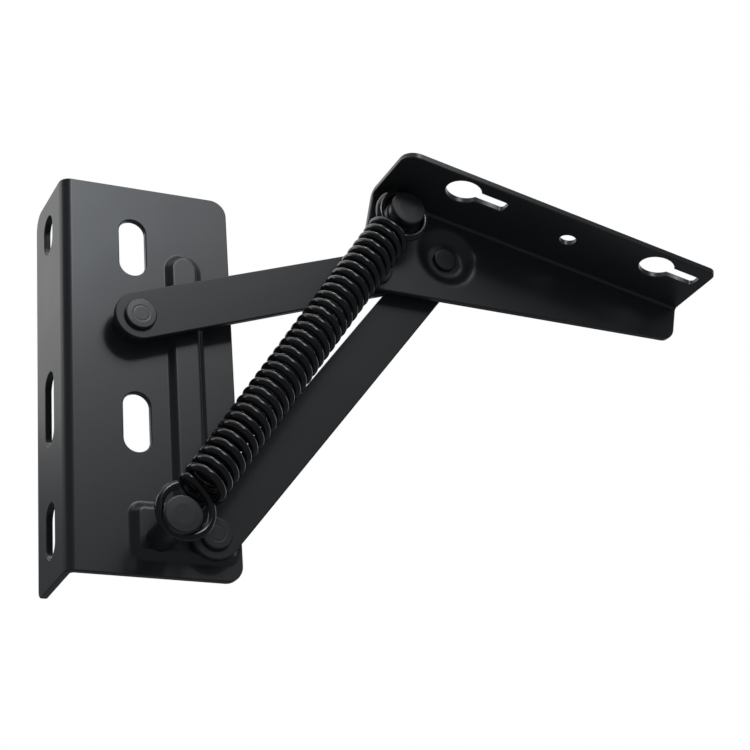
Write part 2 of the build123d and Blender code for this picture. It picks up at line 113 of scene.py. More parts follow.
UPPER_BASE_PIVOT: Spot = (LEFT + 20.3, BOTTOM + 74.75)
LOWER_BASE_PIVOT: Spot = (LEFT + 41.0, BOTTOM + 11.75)
SEAT_PIVOT: Spot = (LEFT + 119.0, BOTTOM + 107.25)
UPPER_SEAT_PIVOT: Spot = seat_spot(-21.8, -13.4)
BASE_PIN: Spot = (LEFT + 25.9, BOTTOM + 10.3)
SEAT_PIN: Spot = seat_spot(-19.2, 3.8)


class Body(Enum):
    """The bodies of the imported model."""

    BASE = "base"
    UPPER_ARM = "upper_arm"
    LOWER_ARM = "lower_arm"
    SEAT = "seat"
    SPRING = "spring"


class Slot(Enum):
    """The record's material slots."""

    BRACKET = "bracket_coat"
    ARM = "arm_coat"
    RIVET = "rivet_coat"
    SPRING = "spring_coat"


class Grain(Enum):
    """The marks that a piece keeps under its coat from how it was made."""

    PRESSED = "pressed"
    TURNED = "turned"
    DRAWN = "drawn"


class Face(Enum):
    """The two faces of a sheet, named from its bend."""

    OUTER = 1
    INNER = -1


class Value:
    """A shader output that takes part in Python expressions."""

    def __init__(self, graph: "Graph", socket: bpy.types.NodeSocket) -> None:
        """Keeps the graph that new nodes go to and the socket that is wrapped."""
        self.graph = graph
        self.socket = socket

    def _math(self, operation: str, first: Any, second: Any) -> "Value":
        """Adds one Math node.

        Args:
            operation: the node's operation.
            first: its first value or link.
            second: its second value or link.

        Returns:
            The node's result.
        """
        return self.graph.out("ShaderNodeMath", {"operation": operation}, {0: first, 1: second})

    def __add__(self, other: Any) -> "Value":
        """self + other."""
        return self._math("ADD", self, other)

    def __radd__(self, other: Any) -> "Value":
        """other + self."""
        return self._math("ADD", other, self)

    def __sub__(self, other: Any) -> "Value":
        """self - other."""
        return self._math("SUBTRACT", self, other)

    def __rsub__(self, other: Any) -> "Value":
        """other - self."""
        return self._math("SUBTRACT", other, self)

    def __mul__(self, other: Any) -> "Value":
        """self * other."""
        return self._math("MULTIPLY", self, other)

    def __rmul__(self, other: Any) -> "Value":
        """other * self."""
        return self._math("MULTIPLY", other, self)

    def sine(self) -> "Value":
        """Sine of the value."""
        return self._math("SINE", self, 0.0)

    def larger(self, other: Any) -> "Value":
        """The larger of the value and another."""
        return self._math("MAXIMUM", self, other)


class Graph:
    """A node tree that is filled from Python expressions."""

    def __init__(self, tree: bpy.types.NodeTree) -> None:
        """Empties the tree and keeps it."""
        self.tree = tree
        tree.nodes.clear()

    def node(
        self,
        kind: str,
        settings: dict[str, Any] | None = None,
        inputs: dict[str | int, Any] | None = None,
    ) -> bpy.types.Node:
        """Adds one node: its settings first, then its sockets.

        Args:
            kind: the node's type name.
            settings: its properties.
            inputs: a value or a link for each socket, by name or by number.

        Returns:
            The new node.
        """
        made = self.tree.nodes.new(kind)
        for name, value in (settings or {}).items():
            setattr(made, name, value)
        for name, value in (inputs or {}).items():
            socket = made.inputs[name]
            if isinstance(value, Value):
                self.tree.links.new(value.socket, socket)
            elif isinstance(value, tuple) and len(value) == 3 and socket.type == "RGBA":
                socket.default_value = (*value, 1.0)
            else:
                socket.default_value = value
        return made

    def out(
        self,
        kind: str,
        settings: dict[str, Any] | None = None,
        inputs: dict[str | int, Any] | None = None,
        name: str | int = 0,
    ) -> Value:
        """Adds one node and wraps one of its outputs.

        Args:
            kind: the node's type name.
            settings: its properties.
            inputs: a value or a link for each socket.
            name: the output, by name or by number.

        Returns:
            The wrapped output.
        """
        return Value(self, self.node(kind, settings, inputs).outputs[name])

    def noise(self, where: Value, size: float, detail: float = 2.0, rough: float = 0.5) -> Value:
        """Cloud noise.

        Args:
            where: the point that is read.
            size: the marks' size, in the units of that point.
            detail: how many finer layers are added.
            rough: how strong those layers are.

        Returns:
            A value about 0.5.
        """
        sockets = {"Vector": where, "Scale": 1 / size, "Detail": detail, "Roughness": rough}
        return self.out("ShaderNodeTexNoise", {"noise_dimensions": "3D"}, sockets, "Fac")

    def attribute(self, name: str, output: str) -> Value:
        """A value that the mesh carries, by its name and the node's output."""
        return self.out("ShaderNodeAttribute", {"attribute_name": name}, None, output)

    def fade(self, share: Any, low: Colour, high: Colour) -> Value:
        """Mixes two colours.

        Args:
            share: how much of the second colour shows.
            low: the first colour.
            high: the second colour.

        Returns:
            The mixed colour.
        """
        # Sockets 6 and 7 and output 2 are the node's colour ones.
        mix = self.node("ShaderNodeMix", {"data_type": "RGBA"}, {0: share, 6: low, 7: high})
        return Value(self, mix.outputs[2])


@dataclass(frozen=True)
class CoatFinish:
    """Black coat over steel, with the marks of the piece below it."""

    name: str
    slot: Slot
    grain: Grain
    deep: Colour
    lift: Colour
    rough_low: float
    rough_high: float
    mirror: float = 0.5
    peel_size: float = 0.0011
    cloud_size: float = 0.022
    dust_size: float = 0.00016
    relief: float = 0.00001
    coat: float = 0.0
    coat_rough: float = 0.1
    bump: float = 0.6
    ring_rates: Spot = (17.0, 41.0)
    ring_depths: Spot = (0.35, 0.2)
    ring_patch: float = 0.002
    draw_size: float = 0.16
    draw_depth: float = 0.9
    rolled_size: float = 0.0006
    rolled_stretch: float = 0.12
    rolled_depth: float = 0.25
    dust_depth: float = 0.35
    cloud_part: float = 0.7
    dust_part: float = 0.3
    marks_part: float = 0.15

    def _marks(self, graph: Graph, where: Value) -> Value:
        """Height of the marks of making, about zero.

        Args:
            graph: the material's graph.
            where: the point on the piece.

        Returns:
            The height, where 1 is about the coat's own relief.
        """
        if self.grain is Grain.TURNED:
            radius = graph.attribute("turned_radius", "Fac")
            coarse, fine = ((radius * rate).sine() for rate in self.ring_rates)
            rings = coarse * self.ring_depths[0] + fine * self.ring_depths[1]
            return rings * graph.noise(where, self.ring_patch)
        if self.grain is Grain.DRAWN:
            run = graph.attribute("wire_grain", "Vector")
            return (graph.noise(run, self.draw_size, 3.0, 0.6) - 0.5) * self.draw_depth
        scale = (1.0, 1.0, self.rolled_stretch)
        stretched = graph.out("ShaderNodeMapping", None, {"Vector": where, "Scale": scale})
        return (graph.noise(stretched, self.rolled_size) - 0.5) * self.rolled_depth

    def material(self) -> bpy.types.Material:
        """Makes the coat's material.

        Returns:
            A material with one Principled shader.
        """
        made = bpy.data.materials.new(self.name)
        made.use_nodes = True
        graph = Graph(made.node_tree)
        where = graph.out("ShaderNodeTexCoord", name="Object")
        cloud = graph.noise(where, self.cloud_size, 3.0, 0.55)
        peel = graph.noise(where, self.peel_size, 2.0, 0.45)
        dust = graph.noise(where, self.dust_size, 1.0)
        marks = self._marks(graph, where)
        height = (peel - 0.5) + (dust - 0.5) * self.dust_depth + marks
        spread = cloud * self.cloud_part + dust * self.dust_part + marks * self.marks_part
        shade = graph.fade(spread, self.deep, self.lift)
        rough = self.rough_low + (self.rough_high - self.rough_low) * spread
        normal = graph.out(
            "ShaderNodeBump",
            None,
            {"Height": height, "Strength": self.bump, "Distance": self.relief},
        )
        shader = graph.out(
            "ShaderNodeBsdfPrincipled",
            None,
            {
                "Base Color": shade,
                "Roughness": rough,
                "Normal": normal,
                "Specular IOR Level": self.mirror,
                "Coat Weight": self.coat,
                "Coat Roughness": self.coat_rough,
            },
        )
        graph.node("ShaderNodeOutputMaterial", None, {"Surface": shader})
        return made


SATIN_DEEP: Colour = (0.0065, 0.0071, 0.0082)
SATIN_LIFT: Colour = (0.0100, 0.0108, 0.0124)
BRACKET_COAT = CoatFinish(
    name="bracket_satin_black",
    slot=Slot.BRACKET,
    grain=Grain.PRESSED,
    deep=SATIN_DEEP,
    lift=SATIN_LIFT,
    rough_low=0.29,
    rough_high=0.41,
    coat=0.12,
    coat_rough=0.15,
)
ARM_COAT = CoatFinish(
    name="arm_satin_black",
    slot=Slot.ARM,
    grain=Grain.PRESSED,
    deep=SATIN_DEEP,
    lift=SATIN_LIFT,
    rough_low=0.30,
    rough_high=0.42,
    mirror=0.36,
    coat=0.09,
    coat_rough=0.15,
)
RIVET_COAT = CoatFinish(
    name="rivet_satin_black",
    slot=Slot.RIVET,
    grain=Grain.TURNED,
    deep=(0.0055, 0.0060, 0.0068),
    lift=(0.0090, 0.0097, 0.0110),
    rough_low=0.28,
    rough_high=0.38,
    peel_size=0.0008,
    coat=0.12,
    coat_rough=0.15,
)
SPRING_COAT = CoatFinish(
    name="spring_gloss_black",
    slot=Slot.SPRING,
    grain=Grain.DRAWN,
    deep=(0.003, 0.003, 0.0035),
    lift=(0.006, 0.006, 0.007),
    rough_low=0.14,
    rough_high=0.22,
    peel_size=0.0009,
    relief=0.000006,
    mirror=0.38,
    coat=0.26,
    coat_rough=0.07,
)


@dataclass(frozen=True)
class Outline:
    """A closed run of points on a flat blank, in millimetres."""

    points: np.ndarray

    @classmethod
    def rounded(cls, corners: Sequence[tuple[float, float, float]], sweep: float = 9.0) -> "Outline":
        """A polygon whose corners are arcs.

        Args:
            corners: x, y and radius of each corner, in order.
            sweep: the largest turn between two points of an arc, in degrees.

        Returns:
            The outline.
        """
        spots = [np.array(corner[:2], float) for corner in corners]
        run: list[np.ndarray] = []
        for index, (_, _, radius) in enumerate(corners):
            here = spots[index]
            back = spots[index - 1] - here
            ahead = spots[(index + 1) % len(spots)] - here
            back /= np.linalg.norm(back)
            ahead /= np.linalg.norm(ahead)
            half = math.acos(max(-1.0, min(1.0, float(back @ ahead)))) / 2
            centre = here + (back + ahead) / np.linalg.norm(back + ahead) * radius / math.sin(half)
            first = here + back * radius / math.tan(half) - centre
            turn = math.pi - 2 * half
            if back[1] * ahead[0] - back[0] * ahead[1] < 0:
                turn = -turn
            steps = max(3, math.ceil(abs(math.degrees(turn)) / sweep))
            for step in range(steps + 1):
                run.append(centre + rotated(first, turn * step / steps))
        return cls(np.array(run))

    @classmethod
    def circle(cls, centre: Spot, radius: float) -> "Outline":
        """A circle.

        Args:
            centre: its middle.
            radius: its radius.

        Returns:
            The outline.
        """
        turns = np.arange(ROUND_STEPS) * 2 * math.pi / ROUND_STEPS
        return cls(np.array(centre) + radius * np.column_stack([np.cos(turns), np.sin(turns)]))

    @classmethod
    def stadium(cls, centre: Spot, length: float, width: float, turn: float = 0.0) -> "Outline":
        """A slot with round ends.

        Args:
            centre: its middle.
            length: its overall length.
            width: its width.
            turn: the direction of its length, in degrees.

        Returns:
            The outline.
        """
        half = (length - width) / 2
        run = []
        for end, start in ((1, -90.0), (-1, 90.0)):
            for step in range(SLOT_END_STEPS + 1):
                angle = math.radians(start + 180.0 * step / SLOT_END_STEPS)
                run.append((end * half + width / 2 * math.cos(angle), width / 2 * math.sin(angle)))
        return cls(np.array(centre) + rotated(np.array(run), math.radians(turn)))

    @classmethod
    def keyhole(cls, radius: float, width: float, tip: float, corner: float) -> "Outline":
        """A round opening about the origin that runs out into a narrower slot along +x.

        Args:
            radius: radius of the round end.
            width: width of the slot.
            tip: how far the slot's end lies from the round end's middle.
            corner: radius of the slot's two corners.

        Returns:
            The outline.
        """
        mouth = math.asin(width / 2 / radius)
        run = []
        for step in range(KEY_STEPS + 1):
            angle = mouth + (2 * math.pi - 2 * mouth) * step / KEY_STEPS
            run.append((radius * math.cos(angle), radius * math.sin(angle)))
        for side, start in ((-1, -90.0), (1, 0.0)):
            for step in range(KEY_CORNER_STEPS + 1):
                angle = math.radians(start + 90.0 * step / KEY_CORNER_STEPS)
                run.append(
                    (
                        tip - corner + corner * math.cos(angle),
                        side * (width / 2 - corner) + corner * math.sin(angle),
                    )
                )
        return cls(np.array(run))

    def wound(self, left: bool) -> "Outline":
        """The same outline, wound to the left or to the right.

        Args:
            left: whether its inside shall lie on the left of its run.

        Returns:
            The outline, turned round if need be.
        """
        ahead = np.roll(self.points, -1, axis=0)
        area = np.sum(self.points[:, 0] * ahead[:, 1] - ahead[:, 0] * self.points[:, 1])
        return self if (area > 0) == left else Outline(self.points[::-1].copy())

    def split(self, stations: Iterable[float]) -> "Outline":
        """The same outline with a point wherever it crosses one of the y stations.

        Args:
            stations: the y values.

        Returns:
            The outline with the new points.
        """
        run: list[np.ndarray] = []
        for here, ahead in zip(self.points, np.roll(self.points, -1, axis=0)):
            run.append(here)
            shares = [
                (level - here[1]) / (ahead[1] - here[1])
                for level in stations
                if min(here[1], ahead[1]) + SAME_LEVEL < level < max(here[1], ahead[1]) - SAME_LEVEL
            ]
            run += [here + (ahead - here) * share for share in sorted(shares)]
        return Outline(np.array(run))

    def outward(self) -> np.ndarray:
        """Direction out of the metal at each point, long enough for a mitred offset.

        Returns:
            One direction a point; the metal lies on the left of the run.
        """
        ahead = np.roll(self.points, -1, axis=0) - self.points
        ahead /= np.linalg.norm(ahead, axis=1)[:, None]
        side = np.column_stack([ahead[:, 1], -ahead[:, 0]])
        before = np.roll(side, 1, axis=0)
        return (side + before) / (1 + np.sum(side * before, axis=1))[:, None]

    def holds(self, spots: np.ndarray) -> np.ndarray:
        """Which of the given points lie inside the outline.

        Args:
            spots: the points.

        Returns:
            True for each point inside.
        """
        inside = np.zeros(len(spots), bool)
        for here, ahead in zip(self.points, np.roll(self.points, -1, axis=0)):
            if here[1] == ahead[1]:
                continue
            crosses = (here[1] > spots[:, 1]) != (ahead[1] > spots[:, 1])
            cut = here[0] + (spots[:, 1] - here[1]) * (ahead[0] - here[0]) / (ahead[1] - here[1])
            inside ^= crosses & (spots[:, 0] < cut)
        return inside


def rotated(points: np.ndarray, angle: float) -> np.ndarray:
    """Points turned about the origin by an angle in radians."""
    cosine, sine = math.cos(angle), math.sin(angle)
    return points @ np.array([[cosine, sine], [-sine, cosine]])


def smooth(share: np.ndarray) -> np.ndarray:
    """A soft step from 0 to 1."""
    held = np.clip(share, 0.0, 1.0)
    return held**3 * (held * (6 * held - 15) + 10)


@dataclass(frozen=True)
class RimStation:
    """One ring round a cut edge: its inset into the metal, its depth and its tilt."""

    inset: float
    below: float
    tilt: float


def soft_rim(radius: float, steps: int = 4) -> list[RimStation]:
    """Rings of an edge whose two corners are broken.

    Args:
        radius: the corners' radius.
        steps: how many rings each corner has.

    Returns:
        The rings from the outer face to the inner one.
    """
    turns = [math.pi / 2 * step / steps for step in range(steps + 1)]
    outer = [
        RimStation(radius * (1 - math.sin(turn)), radius * (1 - math.cos(turn)), turn) for turn in turns
    ]
    inner = [
        RimStation(ring.inset, PLATE - ring.below, math.pi - ring.tilt) for ring in reversed(outer)
    ]
    return outer + inner


@dataclass(frozen=True)
class Pressing:
    """A rounded rectangle or circle that is pressed towards the sheet's outer face."""

    centre: Spot
    half: Spot
    corner: float
    rise: float
    flank_outer: float
    flank_inner: float
    wall: float
    roll: float
    rings: int = 12
    least_corner: float = 0.15
    ring_sweep: float = 7.0
    longest: float = 1.6

    def _gap(self, spots: np.ndarray) -> np.ndarray:
        """Distance from each point to the pressing's foot line, negative inside it.

        Args:
            spots: points on the blank.

        Returns:
            The distances in millimetres.
        """
        apart = np.abs(spots - np.array(self.centre)) - np.array(self.half) + self.corner
        outside = np.linalg.norm(np.maximum(apart, 0), axis=1)
        return outside + np.minimum(np.max(apart, axis=1), 0) - self.corner

    def lift(self, spots: np.ndarray, face: Face) -> np.ndarray:
        """How far each point of a face is pressed out.

        Args:
            spots: points on the blank.
            face: which face they are on.

        Returns:
            The lift towards the outer face, in millimetres.
        """
        flank = self.flank_outer if face is Face.OUTER else self.flank_inner
        start = 0.0 if face is Face.OUTER else -self.wall
        depth = start + self.roll - self._gap(spots)
        return self.rise * smooth(depth / (flank + 2 * self.roll))

    def samples(self) -> np.ndarray:
        """Points along the flanks, close enough to carry their curve.

        Returns:
            Points on the blank, ring by ring.
        """
        deepest = self.wall + max(self.flank_inner, self.flank_outer) + self.roll
        runs = []
        for inset in np.linspace(-self.roll, deepest, self.rings):
            half = np.array(self.half) - inset
            corner = min(max(self.corner - inset, self.least_corner), float(min(half)) * 0.999)
            x, y = half
            box = [(x, -y, corner), (x, y, corner), (-x, y, corner), (-x, -y, corner)]
            run = Outline.rounded(box, self.ring_sweep).points
            runs.append(spaced(run, self.longest) + np.array(self.centre))
        return np.concatenate(runs)


def spaced(points: np.ndarray, longest: float) -> np.ndarray:
    """A closed run of points with its long stretches divided.

    Args:
        points: the run.
        longest: the longest stretch that stays whole.

    Returns:
        The run with the new points.
    """
    run = []
    for here, ahead in zip(points, np.roll(points, -1, axis=0)):
        pieces = max(1, math.ceil(float(np.linalg.norm(ahead - here)) / longest))
        run += [here + (ahead - here) * piece / pieces for piece in range(pieces)]
    return np.array(run)


@dataclass(frozen=True)
class SheetSpace:
    """Places a flat blank in the frame, and bends what lies past its bend line."""

    origin: tuple[float, float, float]
    along: tuple[float, float, float]
    across: tuple[float, float, float]
    inward: tuple[float, float, float]
    bent: bool = True

    def _turn(self, spots: np.ndarray) -> np.ndarray:
        """Angle through which each point of the blank is folded.

        Args:
            spots: points on the blank.

        Returns:
            The angles in radians.
        """
        if not self.bent:
            return np.zeros(len(spots))
        return np.clip(spots[:, 1] / BEND_MIDDLE, 0, math.pi / 2)

    def _axes(self, turn: np.ndarray) -> tuple[np.ndarray, np.ndarray]:
        """The directions across and out of the sheet, folded by an angle.

        Args:
            turn: the angle at each point, in radians.

        Returns:
            The two directions at each point.
        """
        across, inward = np.array(self.across), np.array(self.inward)
        cosine, sine = np.cos(turn)[:, None], np.sin(turn)[:, None]
        return cosine * across + sine * inward, sine * across - cosine * inward

    def place(self, spots: np.ndarray, below: np.ndarray) -> np.ndarray:
        """Points of the blank in the frame.

        Args:
            spots: points on the blank.
            below: how far each lies under the outer face.

        Returns:
            X, Y and Z in millimetres.
        """
        inward = np.array(self.inward)
        turn = self._turn(spots)
        across, outward = self._axes(turn)
        centre = np.array(self.origin) + BEND_OUTSIDE * inward
        straight = np.minimum(spots[:, 1], 0) if self.bent else spots[:, 1]
        flange = np.maximum(spots[:, 1] - BEND_RUN, 0) if self.bent else 0 * straight
        return (
            centre
            + spots[:, :1] * np.array(self.along)
            + straight[:, None] * np.array(self.across)
            + flange[:, None] * across
            + (BEND_OUTSIDE - below)[:, None] * outward
        )

    def direct(self, spots: np.ndarray, ways: np.ndarray) -> np.ndarray:
        """Directions on the blank in the frame.

        Args:
            spots: the points that the directions belong to.
            ways: their parts along, across and out of the sheet.

        Returns:
            Unit directions.
        """
        across, outward = self._axes(self._turn(spots))
        made = ways[:, :1] * np.array(self.along) + ways[:, 1:2] * across + ways[:, 2:] * outward
        return made / np.linalg.norm(made, axis=1)[:, None]


@dataclass
class MeshBuild:
    """Vertices, their directions and faces of one piece, in millimetres."""

    spots: list[np.ndarray] = field(default_factory=list)
    ways: list[np.ndarray] = field(default_factory=list)
    faces: list[tuple[int, ...]] = field(default_factory=list)
    count: int = 0

    def add(self, spots: np.ndarray, ways: np.ndarray) -> int:
        """Adds points with their directions.

        Args:
            spots: the points, in millimetres.
            ways: the direction square to the surface at each.

        Returns:
            The first point's number.
        """
        first = self.count
        self.spots.append(spots)
        self.ways.append(ways)
        self.count += len(spots)
        return first

    def band(self, low: int, high: int, length: int, closed: bool = True) -> None:
        """Joins two runs of points by quads.

        Args:
            low: the first run's first point.
            high: the second run's first point.
            length: how many points each run has.
            closed: whether the runs close on themselves.
        """
        for step in range(length if closed else length - 1):
            ahead = (step + 1) % length
            self.faces.append((low + step, low + ahead, high + ahead, high + step))

    def piece(
        self,
        name: str,
        material: bpy.types.Material,
        carried: dict[str, np.ndarray] | None = None,
    ) -> bpy.types.Object:
        """Makes the Blender object.

        Args:
            name: the piece's name.
            material: its finish.
            carried: numbers or vectors that each point carries to the shader, by name.

        Returns:
            The object, linked to the scene.
        """
        spots = np.concatenate(self.spots) * MM
        ways = np.concatenate(self.ways)
        shape = bmesh.new()
        corners = [shape.verts.new(spot) for spot in spots]
        for face in self.faces:
            shape.faces.new([corners[number] for number in face]).smooth = True
        shape.verts.index_update()
        bmesh.ops.recalc_face_normals(shape, faces=shape.faces)
        mesh = bpy.data.meshes.new(name)
        shape.to_mesh(mesh)
        shape.free()
        mesh.normals_split_custom_set_from_vertices([tuple(way) for way in ways])
        for label, values in (carried or {}).items():
            kind = "FLOAT" if values.ndim == 1 else "FLOAT_VECTOR"
            layer = mesh.attributes.new(label, kind, "POINT")
            flat = values.astype(np.float32).ravel()
            layer.data.foreach_set("value" if values.ndim == 1 else "vector", flat)
        mesh.materials.append(material)
        made = bpy.data.objects.new(name, mesh)
        bpy.context.scene.collection.objects.link(made)
        return made


@dataclass
class Sheet:
    """A pressed sheet: one outer outline, its openings and its pressings."""

    space: SheetSpace
    outer: Outline
    openings: list[Outline] = field(default_factory=list)
    special: list[tuple[Outline, list[RimStation]]] = field(default_factory=list)
    pressings: list[Pressing] = field(default_factory=list)
    edge: float = 0.35
    probe: float = 0.02
    sample_gap: float = 0.12
    sample_memory: int = 900

    def _lift(self, spots: np.ndarray, face: Face) -> np.ndarray:
        """How far the pressings carry each point of a face.

        Args:
            spots: points on the blank.
            face: which face they are on.

        Returns:
            The lift at each point.
        """
        lift = np.zeros(len(spots))
        for pressing in self.pressings:
            lift = np.maximum(lift, pressing.lift(spots, face))
        return lift

    def _face_ways(self, spots: np.ndarray, face: Face) -> np.ndarray:
        """Directions square to a face at each point, on the blank.

        Args:
            spots: points on the blank.
            face: which face they are on.

        Returns:
            Their parts along, across and out of the sheet.
        """
        slope = np.column_stack(
            [
                self._lift(spots + shift, face) - self._lift(spots - shift, face)
                for shift in (np.array([self.probe, 0.0]), np.array([0.0, self.probe]))
            ]
        ) / (2 * self.probe)
        return np.column_stack([-slope * face.value, np.full(len(spots), float(face.value))])

    def _samples(self) -> np.ndarray:
        """Inner points that the faces need for the pressings, thinned.

        Returns:
            Points on the blank.
        """
        kept: list[np.ndarray] = []
        for pressing in self.pressings:
            for spot in pressing.samples():
                near = np.array(kept[-self.sample_memory :]).reshape(-1, 2)
                if np.all(np.abs(near - spot).max(axis=1) > self.sample_gap):
                    kept.append(spot)
        return np.array(kept).reshape(-1, 2)

    def _face(self, build: MeshBuild, rings: list[np.ndarray], starts: list[int], face: Face) -> None:
        """Fills one face between its rings.

        Args:
            build: the mesh that is being built.
            rings: the rings' points on the blank, the outer one first.
            starts: the number of each ring's first point in the mesh.
            face: which face is filled.
        """
        loops = [Outline(ring) for ring in rings]
        inner = self._samples()
        if len(inner):
            keep = loops[0].holds(inner)
            for loop in loops[1:]:
                keep &= ~loop.holds(inner)
            inner = inner[keep]
        below = (0.0 if face is Face.OUTER else PLATE) - self._lift(inner, face)
        ways = self._face_ways(inner, face)
        first = build.add(self.space.place(inner, below), self.space.direct(inner, ways))
        numbers = [start + step for start, ring in zip(starts, rings) for step in range(len(ring))]
        numbers += [first + step for step in range(len(inner))]
        edges = []
        offset = 0
        for ring in rings:
            edges += [(offset + step, offset + (step + 1) % len(ring)) for step in range(len(ring))]
            offset += len(ring)
        for level in bend_stations() if self.space.bent else []:
            on = np.flatnonzero(np.abs(rings[0][:, 1] - level) < ON_STATION)
            if len(on) == 2:
                edges.append((int(on[0]), int(on[1])))
        flat = np.concatenate([*rings, inner])
        made = delaunay_2d_cdt([Vector(spot) for spot in flat], edges, [], 0, SAME_SPOT)
        spots, triangles, origins = np.array([tuple(v) for v in made[0]]), made[2], made[3]
        middles = np.array([spots[list(triangle)].mean(axis=0) for triangle in triangles])
        keep = loops[0].holds(middles)
        for loop in loops[1:]:
            keep &= ~loop.holds(middles)
        for triangle, kept in zip(triangles, keep):
            if kept:
                build.faces.append(tuple(numbers[origins[corner][0]] for corner in triangle))

    def piece(self, name: str, material: bpy.types.Material) -> bpy.types.Object:
        """Builds the sheet.

        Args:
            name: the piece's name.
            material: its finish.

        Returns:
            The sheet's object.
        """
        build = MeshBuild()
        stations = bend_stations() if self.space.bent else []
        runs = [(self.outer.wound(True).split(stations), soft_rim(self.edge))]
        runs += [(opening.wound(False), soft_rim(self.edge)) for opening in self.openings]
        runs += [(opening.wound(False), rim) for opening, rim in self.special]
        ends: dict[Face, tuple[list[np.ndarray], list[int]]] = {Face.OUTER: ([], []), Face.INNER: ([], [])}
        for outline, rim in runs:
            out = outline.outward()
            unit = out / np.linalg.norm(out, axis=1)[:, None]
            starts = []
            for ring in rim:
                spots = outline.points - out * ring.inset
                ways = np.column_stack(
                    [unit * math.sin(ring.tilt), np.full(len(spots), math.cos(ring.tilt))]
                )
                placed = self.space.place(spots, np.full(len(spots), ring.below))
                starts.append(build.add(placed, self.space.direct(spots, ways)))
            for low, high in zip(starts, starts[1:]):
                build.band(low, high, len(outline.points))
            for face, number in ((Face.OUTER, 0), (Face.INNER, -1)):
                ends[face][0].append(outline.points - out * rim[number].inset)
                ends[face][1].append(starts[number])
        for face, (rings, firsts) in ends.items():
            self._face(build, rings, firsts, face)
        return build.piece(name, material)


def bend_stations() -> list[float]:
    """Lines across the blank between which its bend is straight."""
    return [BEND_RUN * step / BEND_STEPS for step in range(BEND_STEPS + 1)]


@dataclass(frozen=True)
class Corner:
    """A corner of a turned profile: radius, depth and the rounding there."""

    radius: float
    depth: float
    fillet: float = 0.08


@dataclass(frozen=True)
class TurnedPiece:
    """A rivet, pin or other turned piece, from its tail to its head."""

    name: str
    node: str
    body: Body
    centre: Spot
    corners: tuple[Corner, ...]
    segments: int = 72
    fillet_share: float = 0.45
    wide_fillet: float = 0.15
    wide_steps: int = 6
    narrow_steps: int = 3

    def _profile(self) -> tuple[np.ndarray, np.ndarray]:
        """Points of the rounded profile with their outward directions.

        Returns:
            Radius and depth of each point, and the direction there.
        """
        spots = [np.array([corner.radius, corner.depth]) for corner in self.corners]
        points, ways = [spots[0]], [np.array([0.0, -1.0])]
        for before, here, after, corner in zip(spots, spots[1:], spots[2:], self.corners[1:]):
            back, ahead = before - here, after - here
            reach = min(np.linalg.norm(back), np.linalg.norm(ahead))
            back /= np.linalg.norm(back)
            ahead /= np.linalg.norm(ahead)
            half = math.acos(max(-1.0, min(1.0, float(back @ ahead)))) / 2
            fillet = min(corner.fillet, self.fillet_share * reach * math.tan(half))
            cut = fillet / math.tan(half)
            first = np.array([-back[1], back[0]])
            last = np.array([ahead[1], -ahead[0]])
            turn = math.atan2(first[0] * last[1] - first[1] * last[0], float(first @ last))
            side = 1 if turn > 0 else -1
            centre = here + back * cut - side * first * fillet
            steps = self.wide_steps if fillet > self.wide_fillet else self.narrow_steps
            for step in range(steps + 1):
                way = rotated(first, turn * step / steps)
                points.append(centre + side * way * fillet)
                ways.append(way)
        points.append(spots[-1])
        ways.append(np.array([0.0, 1.0]))
        return np.array(points), np.array(ways)

    def build(self, material: bpy.types.Material) -> bpy.types.Object:
        """Turns the profile about its centre.

        Args:
            material: the piece's finish.

        Returns:
            The piece, riding on its body in place of its node.
        """
        build = MeshBuild()
        points, ways = self._profile()
        angles = np.arange(self.segments) * 2 * math.pi / self.segments
        cosine, sine = np.cos(angles), np.sin(angles)
        radii = []
        starts = []
        for (radius, depth), (out, front) in zip(points, ways):
            single = radius < SAME_LEVEL
            x, z = (cosine[:1] * 0, sine[:1] * 0) if single else (cosine, sine)
            y = np.full(len(x), depth_y(depth))
            spots = np.column_stack([self.centre[0] + radius * x, y, self.centre[1] + radius * z])
            starts.append((build.add(spots, np.column_stack([out * x, 0 * x - front, out * z])), single))
            radii += [radius] * len(x)
        for (low, low_single), (high, high_single) in zip(starts, starts[1:]):
            if low_single or high_single:
                pole, ring = (low, high) if low_single else (high, low)
                for step in range(self.segments):
                    build.faces.append((pole, ring + step, ring + (step + 1) % self.segments))
            else:
                build.band(low, high, self.segments)
        made = build.piece(self.name, material, {"turned_radius": np.array(radii)})
        return settle(made, self.body, self.node)


def settle(piece: bpy.types.Object, body: Body, node: str) -> bpy.types.Object:
    """Makes a piece ride on its body in place of its node.

    Args:
        piece: the finished piece.
        body: the body that it moves with.
        node: the node that it stands for.

    Returns:
        The piece.
    """
    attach(piece, body.value)
    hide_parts(node)
    LOG.info("%s rides on %s: %d faces", piece.name, body.value, len(piece.data.polygons))
    return piece


def dress(node: str, material: bpy.types.Material) -> None:
    """Gives a node that keeps its own shape a finish.

    Args:
        node: the node's name.
        material: its finish.
    """
    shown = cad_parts[node]
    for place in shown.material_slots:
        place.material = material
    LOG.info("%s keeps its shape in %s", node, material.name)


